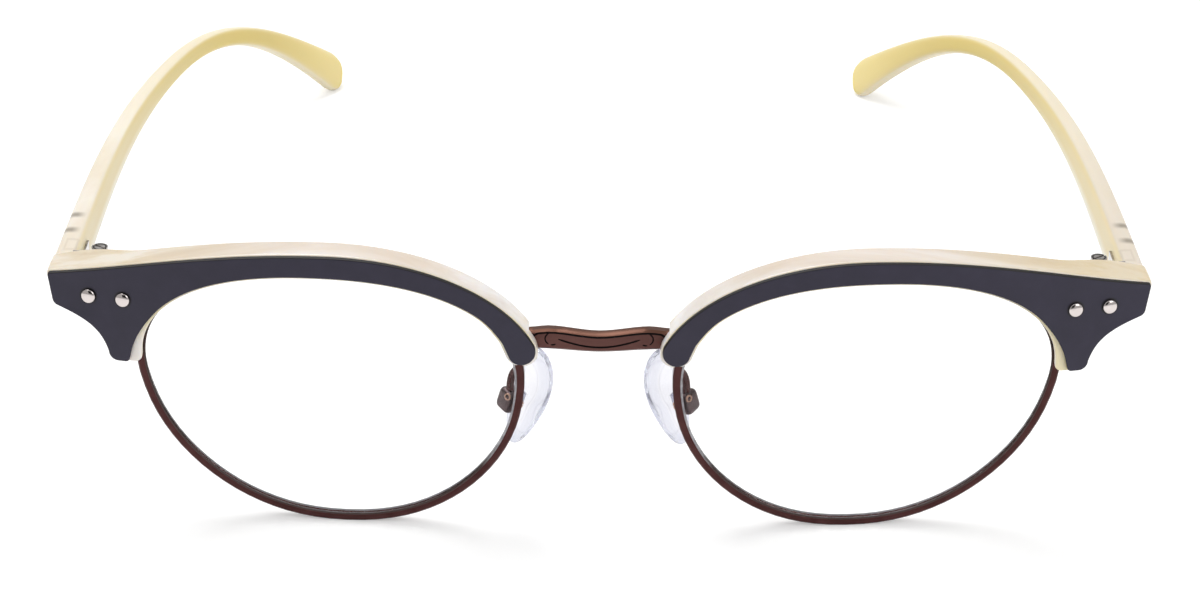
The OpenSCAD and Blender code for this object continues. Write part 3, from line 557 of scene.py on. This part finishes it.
# The bridge's upward faces get a lighter copper as a painted highlight.
BRIDGE = metal("bridge_metal", (0.080, 0.033, 0.028), (0.108, 0.047, 0.040), 0.34, 300, (0.3, 1, 1),
               metallic=0.8, top=(0.135, 0.060, 0.040))
# Near-black: the engraved lines, and painted shade on the bridge's crease and in the pad rivet's hole.
LINE = metal("engraved_lines_and_painted_shade", (0.004, 0.002, 0.002), (0.008, 0.004, 0.004), 0.7, 600, metallic=0.9)
SILVER = metal("stud_silver", (0.60, 0.54, 0.52), (0.70, 0.64, 0.62), 0.07)
STEEL = metal("turned_steel", (0.25, 0.23, 0.215), (0.46, 0.43, 0.41), 0.28, 700, (1, 1, 6))
COPPER = metal("pad_screw_copper", (0.34, 0.20, 0.15), (0.46, 0.29, 0.22), 0.28)
PAD_BOX = metal("pad_box_metal", (0.062, 0.038, 0.040), (0.106, 0.075, 0.078), 0.34, metallic=0.92)
HINGE = hinge_steel()
LENS = clear_lens()
GROUND = frosted("ground_edge", 900, ((0.26, 0.26, 0.29), (0.50, 0.51, 0.56)), (0.105, 0.095, 0.108),
                 (0.1, 0.35), 0.6, 1.5, (0.3, 0.00006))
BEVEL = frosted("lens_bevel", 1400, ((0.42, 0.41, 0.44), (0.74, 0.73, 0.76)), (0.070, 0.046, 0.043),
                (0.0, 0.4), 0.5, 1.3, (0.25, 0.00005))
PAD = clear_silicone()


# ---------------------------------------------------------------- mesh helpers
def loft(rings, cap=None):
    """Joins closed rings of equal length, and closes both ends where a cap is given."""
    n = len(rings[0])
    faces = []
    for i in range(len(rings) - 1):
        for j in range(n):
            k = (j + 1) % n
            faces.append((i * n + j, i * n + k, (i + 1) * n + k, (i + 1) * n + j))
    if cap:
        faces += cap(rings[0], 0) + cap(rings[-1], (len(rings) - 1) * n)
    return [p for r in rings for p in r], faces


def flat_cap(ring, base):
    return [tuple(range(base, base + len(ring)))]


def turn(a, b, c):
    """Below 0 where three points turn clockwise, seen from the front."""
    return (b[0] - a[0]) * (c[2] - a[2]) - (b[2] - a[2]) * (c[0] - a[0])


def strip_cap(ring, base):
    """Fills a brow ring: its first half is the outer edge and its second half the inner edge, backwards."""
    n = len(ring)
    faces = []
    for i in range(n // 2 - 1):
        j = n - 1 - i
        a, b, c, d = ring[i], ring[i + 1], ring[j - 1], ring[j]
        if turn(a, b, c) < 0 and turn(a, c, d) < 0:
            faces += [(i, i + 1, j - 1), (i, j - 1, j)]
        else:
            faces += [(i, i + 1, j), (i + 1, j - 1, j)]
    return [tuple(base + k for k in f) for f in faces]


def fan(v, f, base, n, centre):
    """Closes a ring of n points from `base` on with triangles round a new point."""
    v.append(centre)
    f += [(base + j, base + (j + 1) % n, len(v) - 1) for j in range(n)]


def build(name, verts, faces, mat, body, replaces=None, mirror=False, split=36, attrs=None):
    """Makes a piece from points in part.scad's millimetres. `split` is the angle of its sharp edges."""
    me = bpy.data.meshes.new(name)
    s = -1 if mirror else 1
    pts = [(s * v[0] * MM, (v[1] - MID_Y) * MM, v[2] * MM) for v in verts]
    me.from_pydata(pts, [], faces)
    for key, values in (attrs or {}).items():
        at = me.attributes.new(key, "FLOAT", "POINT")
        at.data.foreach_set("value", np.asarray(values, dtype=np.float32))
    bm = bmesh.new()
    bm.from_mesh(me)
    bmesh.ops.recalc_face_normals(bm, faces=bm.faces)
    bm.to_mesh(me)
    bm.free()
    for p in me.polygons:
        p.use_smooth = True
    me.materials.append(mat)
    ob = bpy.data.objects.new(name, me)
    bpy.context.scene.collection.objects.link(ob)
    if split:
        e = ob.modifiers.new("crisp", "EDGE_SPLIT")
        e.split_angle = math.radians(split)
        e.use_edge_sharp = False
    if body:
        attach(ob, body)
    if replaces:
        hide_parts(replaces)
    return ob


def box_mesh(lo, hi):
    v = [(x, y, z) for x in (lo[0], hi[0]) for y in (lo[1], hi[1]) for z in (lo[2], hi[2])]
    f = [(0, 1, 3, 2), (4, 6, 7, 5), (0, 4, 5, 1), (2, 3, 7, 6), (0, 2, 6, 4), (1, 5, 7, 3)]
    return v, f


def cut(ob, boxes, mirror, place=None):
    """Takes boxes out of a piece, with the result kept in its mesh. `place` moves their corners."""
    cutters = []
    for i, (lo, hi) in enumerate(boxes):
        v, f = box_mesh(lo, hi)
        if place:
            v = [place(q) for q in v]
        c = build("cutter", v, f, ob.data.materials[0], None, None, mirror, 0)
        mod = ob.modifiers.new("cut", "BOOLEAN")
        mod.operation = "DIFFERENCE"
        mod.solver = "EXACT"
        mod.object = c
        ob.modifiers.move(len(ob.modifiers) - 1, i)
        cutters.append(c)
    bpy.context.view_layer.update()
    split = ob.modifiers["crisp"]
    split.show_viewport = split.show_render = False
    deps = bpy.context.evaluated_depsgraph_get()
    me = bpy.data.meshes.new_from_object(ob.evaluated_get(deps))
    old = ob.data
    for mod in [m for m in ob.modifiers if m.type == "BOOLEAN"]:
        ob.modifiers.remove(mod)
    ob.data = me
    bpy.data.meshes.remove(old)
    split.show_viewport = split.show_render = True
    for c in cutters:
        bpy.data.objects.remove(c)


# ---------------------------------------------------------------- fine pieces in place of faceted nodes
def brow_pieces(side, mirror):
    """The dark layer with its eased front edge, and the cream body with its three recesses."""
    ease, skirt = 0.12, 0.05
    rings = [front_ring(-ease - skirt, ease + skirt, FACE_LAP + ease + skirt, 0)]
    for a in (0, 22.5, 45, 67.5, 90):
        inset = ease * (1 - sind(a))
        rings.append(front_ring(-inset, inset, FACE_LAP + inset, ease * (1 - cosd(a))))
    rings.append(front_ring(0, 0, FACE_LAP, FACE_T))
    v, f = loft(rings, strip_cap)
    build("brow_face_fine_" + side, v, f, DARK, "front", "brow_face_" + side, mirror)

    rings = []
    for a in (0, 30, 60, 90):
        inset = 1 - sind(a)
        rings.append(front_ring(BODY_STEP - 0.15 * inset, LIP + 0.12 * inset,
                                LOBE_LAP + LIP * sind(a) - LOBE_SHELF, FACE_T + 0.3 * (1 - cosd(a))))
    rings.append(front_ring(BODY_STEP, LIP, LOBE_LAP + LIP - LOBE_SHELF, WIRE_SEAT - 0.11))
    rings.append(front_ring(BODY_STEP, SEAT_LAP, LOBE_LAP, WIRE_SEAT - SEAT_GAP))
    for i in range(8):
        a = 90 / 7 * i
        inset = 1 - cosd(a)
        rings.append(back_ring(BODY_STEP - EDGE_R * inset, SEAT_LAP + 0.2 * inset, EDGE_R * (1 - sind(a))))
    v, f = loft(rings, strip_cap)
    body = build("brow_body_fine_" + side, v, f, BROW_CREAM, "front", "brow_body_" + side,
                 mirror)
    low, far, gap = FOOT_Z - 4, 12, SEAT_GAP
    plate_x, plate_y = HINGE_X - 1.7, END_BACK - 2.5
    bridge = ((-1, BRIDGE_Y - gap, low), (BRIDGE_END + 1.4, BRIDGE_Y + far, BRIDGE_Z + BRIDGE_H + 0.35))
    block = ((BLOCK_X - 1.5, BLOCK_Y - gap, low),
             (BLOCK_X + BLOCK_W + gap, BLOCK_Y + far, BLOCK_Z + BLOCK_H + gap))
    leaf = ((plate_x - gap, plate_y - gap, HINGE_TOP - HINGE_STACK - gap),
            (plate_x + PLATE_W + gap, plate_y + 6, HINGE_TOP + gap))
    cut(body, [bridge, block, leaf], mirror)


def temple_angle(s):
    """Slope of the temple below level, in degrees, at a length from its front end."""
    return SLOPE + BEND * smooth((s - STRAIGHT) / BEND_LEN)


def temple_path():
    """Stations along the temple's middle as (length, Y, Z), closer together at both ends."""
    many, last_few, longest = 110, 26, 0.25
    steps = [0.0, 0.12, 0.3] + [0.6 + i * (TEMPLE_LEN - 5.2) / many for i in range(1, many + 1)]
    last = steps[-1]
    steps += [last + (TEMPLE_LEN - last) * sind(90 * i / last_few) for i in range(1, last_few + 1)]
    path, s, p = [], 0.0, np.array([TEMPLE_Y, TEMPLE_MID_Z])
    for station in steps:
        while s < station - 1e-9:
            d = min(longest, station - s)
            a = temple_angle(s + d / 2)
            p = p + d * np.array([cosd(a), -sind(a)])
            s += d
        path.append((station, p[0], p[1]))
    return path


def temple_size(s):
    """Height and thickness at a length: low in the bend, high at the tip, and rounded off at the end."""
    f = s / TEMPLE_LEN
    past = max(0.0, s - TEMPLE_LEN + TIP_R)
    if f < 0.75:
        h = lerp(TEMPLE_H, BEND_H, smooth(f / 0.75))
    else:
        h = lerp(BEND_H, TIP_H, ((f - 0.75) / 0.25) ** 3)
    h -= 2 * (TIP_R - math.sqrt(max(TIP_R ** 2 - past ** 2, 0))) * (TIP_H / TIP_R / 2 * 0.8)
    end = max(0.0, s - TEMPLE_LEN + 1.0)
    ease = 0.93 if s == 0 else 0.98 if s < 0.2 else 1.0
    t = lerp(TEMPLE_T, TIP_T, f) * ease * math.sqrt(max(1 - (0.97 * end) ** 2, 0))
    return h * ease * math.sqrt(max(1 - (0.75 * end) ** 2, 0)), t


def temple_piece(side, mirror):
    path = temple_path()
    rings, heights, n = [], [], 64
    spokes = [360 * (j + 0.5) / n for j in range(n)]
    for s, y, z in path:
        f = s / TEMPLE_LEN
        a = temple_angle(s)
        along = np.array([-BOW_IN * BOW_POWER * f ** (BOW_POWER - 1) / TEMPLE_LEN, cosd(a), -sind(a)])
        along /= np.linalg.norm(along)
        up = np.array([0, sind(a), cosd(a)])
        across = np.cross(along, up)
        centre = np.array([TEMPLE_X - BOW_IN * f ** BOW_POWER, y, z]) - lerp(TEMPLE_T, TIP_T, f) / 2 * across
        h, t = temple_size(s)
        power = lerp(0.46, 0.66, smooth((f - 0.2) / 0.7))
        rings.append([centre + 0.99 * (spow(cosd(b), power) * t / 2 * across
                                       + spow(sind(b), power) * h / 2 * up) for b in spokes])
        heights += [spow(sind(b), power) for b in spokes]
    # The last part is drawn up and in, so that the tip stays on the floor and inside the CAD's box.
    low = min(p[2] for r in rings for p in r)
    far = max(p[1] for r in rings for p in r) - 2 * MID_Y
    for (s, _, _), ring in zip(path, rings):
        k = smooth((s - 0.7 * TEMPLE_LEN) / (0.2 * TEMPLE_LEN))
        for p in ring:
            p[2] -= k * min(low, 0)
            p[1] -= k * max(far + FRONT_Y + 0.01, 0)
    v, f = loft(rings)
    fan(v, f, 0, n, sum(rings[0]) / n)
    fan(v, f, (len(rings) - 1) * n, n, sum(rings[-1]) / n)
    build("temple_fine_" + side, v, f, TEMPLE_CREAM, "temple_arm_" + side, "temple_" + side,
          mirror, 50, {"up": heights + [0, 0]})


def at_pad(p):
    """From the pad's own axes, with Z along it and X outward, to the part's."""
    a, b = -PAD_SPLAY, -PAD_FLARE
    x, y, z = p[0] * cosd(a) - p[1] * sind(a), p[0] * sind(a) + p[1] * cosd(a), p[2]
    return (PAD_AT[0] + x * cosd(b) + z * sind(b), PAD_AT[1] + y, PAD_AT[2] - x * sind(b) + z * cosd(b))


def pad_piece(side, mirror):
    """The drop-shaped pad, from rings (inset, X) that run over its rounded rim, and its tab."""
    n, rows, rim = 96, [], []
    round_r, rim_width = 1.5, 2.7
    angles = (0, 15, 30, 45, 60, 75, 90)
    profile = [(3.7, -0.80), (3.0, -0.84), (2.4, -0.88), (1.9, -0.91)]
    profile += [(round_r * (1 - cosd(a)), -0.92 * sind(a)) for a in angles[::-1]]
    profile += [(round_r * (1 - cosd(a)), 0.95 * sind(a)) for a in angles[1:]]
    profile += [(1.7, 0.95), (1.9, 0.95), (2.1, 0.95), (2.4, 0.95), (3.0, 0.94), (3.7, 0.93)]
    for inset, x in profile:
        row = []
        for i in range(n):
            a = 360 * i / n
            w, z = PAD_W / 2 * cosd(a) * (0.91 + 0.33 * sind(a)), PAD_LEN / 2 * sind(a)
            k = 1 - min(inset / math.hypot(w, z), 0.97)
            row.append(at_pad((x, w * k, z * k)))
        rows.append(row)
        rim += [1 - min(inset / rim_width, 1)] * n
    v, f = loft(rows)
    fan(v, f, 0, n, at_pad((-0.78, 0, 0)))
    fan(v, f, (len(rows) - 1) * n, n, at_pad((0.92, 0, 0)))
    build("nose_pad_fine_" + side, v, f, PAD, "pad_" + side, "nose_pad_" + side, mirror, 60,
          {"rim": rim + [0, 0]})

    root, half, ease = 0.75, TAB_T / 2, 0.12
    shape = [(root, -TAB_R), (PAD_STEM, -TAB_R)]
    shape += [(PAD_STEM + TAB_R * cosd(a), TAB_R * sind(a)) for a in range(-80, 81, 10)]
    shape += [(PAD_STEM, TAB_R), (root, TAB_R)]
    tab = []
    for y, g in ((-half, ease), (-half + ease, 0), (half - ease, 0), (half, ease)):
        tab.append([at_pad((x - (g if x > 1 else 0), y, z * (1 - g / TAB_R))) for x, z in shape])
    v, f = loft(tab, flat_cap)
    build("nose_pad_post_" + side, v, f, PAD, "pad_" + side, None, mirror, 40,
          {"rim": [0.3] * len(v)})


def arm_piece(side, mirror):
    """The bent wire that carries the pad's box."""
    z0 = LENS_CZ + 2.9
    x0 = eye_side(z0)
    start = np.array([x0 + 0.05, face_y(x0, z0) + WIRE_SEAT + WIRE_D - 0.12, z0])
    end = np.array(at_pad((PAD_STEM + 0.55, 0, BOX_H / 2 - 0.2)))
    bend = [start, start + np.array([0.3, 3.4, 0.2]), end + np.array([0.2, 0.3, 2.6]), end]
    rings, steps, n = [], 48, 24
    for i in range(steps + 1):
        t = i / steps
        along = bezier(bend, t + 0.01) - bezier(bend, t - 0.01)
        along /= np.linalg.norm(along)
        across = np.cross(along, (1, 0, 0))
        across /= np.linalg.norm(across)
        top = np.cross(across, along)
        rings.append([bezier(bend, t) + ARM_R * (cosd(360 * j / n) * across + sind(360 * j / n) * top)
                      for j in range(n)])
    v, f = loft(rings, flat_cap)
    build("pad_arm_fine_" + side, v, f, BROWN, "front", "pad_arm_" + side, mirror, 40)


def box_piece(side, mirror):
    """The pad's rounded box with the slot for the tab, and on it the wire's end as a ring with a hole, whose
    dark is a near-black disc of painted shade.
    """
    rings, n = [], 40
    for x, g in ((BOX_FROM, 0.22), (BOX_FROM + 0.05, 0.1), (BOX_FROM + 0.14, 0.03), (BOX_FROM + 0.3, 0.0),
                 (BOX_TO - 0.6, 0.0), (BOX_TO - 0.36, 0.05), (BOX_TO - 0.16, 0.17), (BOX_TO - 0.04, 0.36),
                 (BOX_TO, 0.6)):
        rings.append([at_pad((x, spow(cosd(360 / n * j), 0.42) * (BOX_W / 2 - g),
                              spow(sind(360 / n * j), 0.42) * (BOX_H / 2 - g))) for j in range(n)])
    v, f = loft(rings, flat_cap)
    box = build("pad_box_fine_" + side, v, f, PAD_BOX, "front", None, mirror, 40)
    slot = TAB_T / 2 + 0.08
    cut(box, [((0.7, -slot, -1.25), (BOX_TO - 0.3, slot, 1.25))], mirror, at_pad)

    out, along, mid = np.array([0.95, -0.31, 0]), np.array([0.31, 0.95, 0]), np.array([3.93, -0.72, 0.92])
    ring_r, wire_r, hole_r, n = 0.38, 0.13, 0.31, 24
    spokes = [cosd(a) * along + sind(a) * np.array([0, 0, 1.0]) for a in range(0, 361, 360 // n)]
    v, f = loft([[at_pad(mid + (ring_r + wire_r * cosd(b)) * spoke + wire_r * sind(b) * out)
                  for b in range(0, 360, 30)] for spoke in spokes])
    build("pad_rivet_" + side, v, f, COPPER, "front", None, mirror, 0)
    # Painted shade: a near-black disc fills the ring's hole.
    v, f = loft([[at_pad(mid + hole_r * spoke + h * out) for spoke in spokes[:-1]] for h in (-0.12, 0.03)],
                flat_cap)
    build("pad_rivet_hole_" + side, v, f, LINE, "front", None, mirror, 40)


def bevel_ring(side, mirror):
    """A thin frosted band on the lens, just inside the eyewire."""
    lens_front = WIRE_SEAT + WIRE_D / 2 - 0.85
    rings = []
    for a in range(0, 361, 2):
        ring = []
        for off, depth in ((-0.46, -0.02), (-0.52, -0.09), (-0.70, -0.09), (-0.76, -0.02)):
            q = eye_off(a, off)
            ring.append((q[0], face_y(q[0], q[1]) + lens_front + depth, q[1]))
        rings.append(ring)
    v, f = loft(rings)
    build("lens_bevel_" + side, v, f, BEVEL, "front", None, mirror, 0)


for side, mirror in (("left", False), ("right", True)):
    for make in (brow_pieces, temple_piece, pad_piece, arm_piece, box_piece, bevel_ring):
        make(side, mirror)


# ---------------------------------------------------------------- lines on the bridge: engraved ones, and painted shade along its upper crease
def mesh_tree(ob):
    return BVHTree.FromPolygons([ob.matrix_world @ v.co for v in ob.data.vertices],
                                [tuple(p.vertices) for p in ob.data.polygons])


BRIDGE_TREE = mesh_tree(NODES["bridge"])


def on_bridge(x, z):
    """Depth of the bridge's front at a point, or None past its edge."""
    hit = BRIDGE_TREE.ray_cast(Vector((x * MM, -0.2, z * MM)), Vector((0, 1, 0)))[0]
    return hit.y / MM + MID_Y if hit else None


def crease(x):
    """Height at which the bridge's upright front ends and its sloping upper edge begins."""
    step, slack = 0.05, 0.05
    z = BRIDGE_Z + 1.2
    front = on_bridge(x, z)
    while z < BRIDGE_Z + 3.4:
        y = on_bridge(x, z + step)
        if y is None or y > front + slack:
            break
        z += step
    return z


def ribbon(name, pts, width):
    """A thin dark line laid on the bridge's front, from points (x, z)."""
    rings = []
    last = len(pts) - 1
    for i, (x, z) in enumerate(pts):
        a, b = pts[max(i - 1, 0)], pts[min(i + 1, last)]
        d = np.array([b[0] - a[0], b[1] - a[1]])
        d = d / np.linalg.norm(d)
        w = width / 2 * min(1.0, 0.35 + min(i, last - i) * 0.4)
        ring = []
        for k, depth in ((-1, 0.03), (-0.7, -0.03), (0.7, -0.03), (1, 0.03)):
            px, pz = x - d[1] * w * k, z + d[0] * w * k
            y = on_bridge(px, pz)
            ring.append((px, (BRIDGE_Y if y is None else y) + depth, pz))
        rings.append(ring)
    v, f = loft(rings)
    f += [(0, 1, 2, 3), tuple(len(v) - k for k in (1, 2, 3, 4))]
    build(name, v, f, LINE, "front", None, False, 60)


SMILE_HALF, EDGE_HALF = 5.2, 9.3
ribbon("bridge_line", [(x, BRIDGE_Z + 0.75 + 0.85 * (x / SMILE_HALF) ** 2)
                       for x in np.linspace(-SMILE_HALF, SMILE_HALF, 41)], 0.31)
edge_x = np.linspace(-EDGE_HALF, EDGE_HALF, 63)
edge_z = np.array([crease(x) for x in edge_x])
edge_z = np.convolve(np.pad(edge_z, 3, "edge"), np.ones(7) / 7, "valid")
# Painted shade: a near-black line just below the crease where the front meets the sloping upper edge.
ribbon("bridge_crease_shade_line", [(x, z - 0.16) for x, z in zip(edge_x, edge_z)], 0.34)


def bracket(name, side, a0, a1, n, width):
    """Part of a circle near the bridge's end."""
    x, z, r = 6.0, BRIDGE_Z + 1.55, 0.85
    ribbon(name, [(side * (x + r * cosd(a)), z + r * sind(a)) for a in np.linspace(a0, a1, n)], width)


for letter, side in (("a", -1), ("b", 1)):
    bracket("bridge_ring_" + letter, side, -62, 62, 19, 0.22)
    bracket("bridge_foot_" + letter, side, -125, -82, 9, 0.25)


# ---------------------------------------------------------------- CAD nodes
def smooth_cad(ob):
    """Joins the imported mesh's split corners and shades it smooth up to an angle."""
    attributes = ob.data.attributes
    if "custom_normal" in attributes:
        attributes.remove(attributes["custom_normal"])
    for p in ob.data.polygons:
        p.use_smooth = True
    w = ob.modifiers.new("weld", "WELD")
    w.merge_threshold = 2e-6
    e = ob.modifiers.new("crisp", "EDGE_SPLIT")
    e.split_angle = math.radians(32)
    e.use_edge_sharp = False


def dress(prefix, mat):
    """Gives a node, or its left and right one, a material."""
    for n, ob in NODES.items():
        if n == prefix or n in (prefix + "_left", prefix + "_right"):
            ob.data.materials.clear()
            ob.data.materials.append(mat)
            smooth_cad(ob)
            if prefix == "lens":
                ob.data.materials.append(GROUND)
                for p in ob.data.polygons:
                    p.material_index = 1 if abs(p.normal.y) < 0.8 else 0


for prefix, mat in (("bridge", BRIDGE), ("brow_body", BROW_CREAM), ("brow_face", DARK),
                    ("front_studs", SILVER), ("brow_screws", STEEL), ("rim", BROWN),
                    ("rim_lock_screw", STEEL), ("lens", LENS), ("pad_arm", BROWN), ("nose_pad", PAD),
                    ("pad_screw", COPPER), ("hinge_front_leaf", HINGE), ("hinge_temple_leaf", HINGE),
                    ("hinge_screw", HINGE), ("temple", TEMPLE_CREAM), ("temple_studs", SILVER)):
    dress(prefix, mat)


# ---------------------------------------------------------------- stage and light
def plane(name, half, m):
    bm = bmesh.new()
    bmesh.ops.create_grid(bm, x_segments=1, y_segments=1, size=half)
    me = bpy.data.meshes.new(name)
    bm.to_mesh(me)
    bm.free()
    me.materials.append(m.m)
    ob = bpy.data.objects.new(name, me)
    bpy.context.scene.collection.objects.link(ob)
    return ob


def make_floor():
    """A pale floor that also glows a little to whatever looks at it, so that it shows as white paper."""
    m = Mat("floor_white")
    ray = m.node("ShaderNodeLightPath").outputs
    seen = m.calc("MAXIMUM", ray["Is Camera Ray"],
                  m.calc("MAXIMUM", ray["Is Glossy Ray"], ray["Is Transmission Ray"]))
    m.set(Roughness=0.9, Base_Color=(0.8, 0.8, 0.8, 1), Specular_IOR_Level=0.0, Emission_Color=(1, 1, 1, 1))
    m.link(m.times(seen, 0.36), m.p.inputs["Emission Strength"])
    floor = plane("floor", 6, m)


def make_world():
    """White all round: full to the camera and through the lenses, and about half as a light."""
    world = bpy.data.worlds.new("studio")
    world.use_nodes = True
    t = world.node_tree
    ray = t.nodes.new("ShaderNodeLightPath").outputs
    seen = t.nodes.new("ShaderNodeMath")
    seen.operation = "MAXIMUM"
    t.links.new(ray["Is Camera Ray"], seen.inputs[0])
    t.links.new(ray["Is Transmission Ray"], seen.inputs[1])
    mix = t.nodes.new("ShaderNodeMixShader")
    t.links.new(seen.outputs[0], mix.inputs["Fac"])
    lamp, backdrop = t.nodes["Background"], t.nodes.new("ShaderNodeBackground")
    for k, node, strength in ((1, lamp, 0.55), (2, backdrop, 1.0)):
        node.inputs["Color"].default_value = (1, 1, 1, 1)
        node.inputs["Strength"].default_value = strength
        t.links.new(node.outputs[0], mix.inputs[k])
    t.links.new(mix.outputs[0], t.nodes["World Output"].inputs["Surface"])
    bpy.context.scene.world = world


def area(name, pos, size, power):
    """A rectangular lamp that points at the glasses."""
    target = Vector((0, 0, 0.02))
    light = bpy.data.lights.new(name, "AREA")
    light.shape = "RECTANGLE"
    light.size, light.size_y = size
    light.energy = power
    ob = bpy.data.objects.new(name, light)
    bpy.context.scene.collection.objects.link(ob)
    ob.location = pos
    ob.rotation_euler = (target - Vector(pos)).to_track_quat("-Z", "Y").to_euler()


def make_card():
    """The dark camera body that polished domes reflect. Only glossy rays see it."""
    m = Mat("camera_black")
    m.base(m.ramp(m.noise(40), [(0.3, (0.005, 0.005, 0.005)), (0.7, (0.01, 0.01, 0.01))]))
    m.set(Roughness=0.8)
    ob = plane("camera_card", 0.21, m)
    ob.matrix_world = bpy.context.scene.camera.matrix_world @ Matrix.Translation((-0.06, 0.06, 0.02))
    ob.visible_camera = ob.visible_diffuse = ob.visible_transmission = ob.visible_shadow = False


make_floor()
make_world()
make_card()
area("key", (-0.2, 0.25, 0.75), (0.6, 0.45), 3.8)
area("fill", (0.5, -0.45, 0.6), (0.5, 0.5), 1.6)
bpy.context.scene.view_settings.view_transform = "Standard"
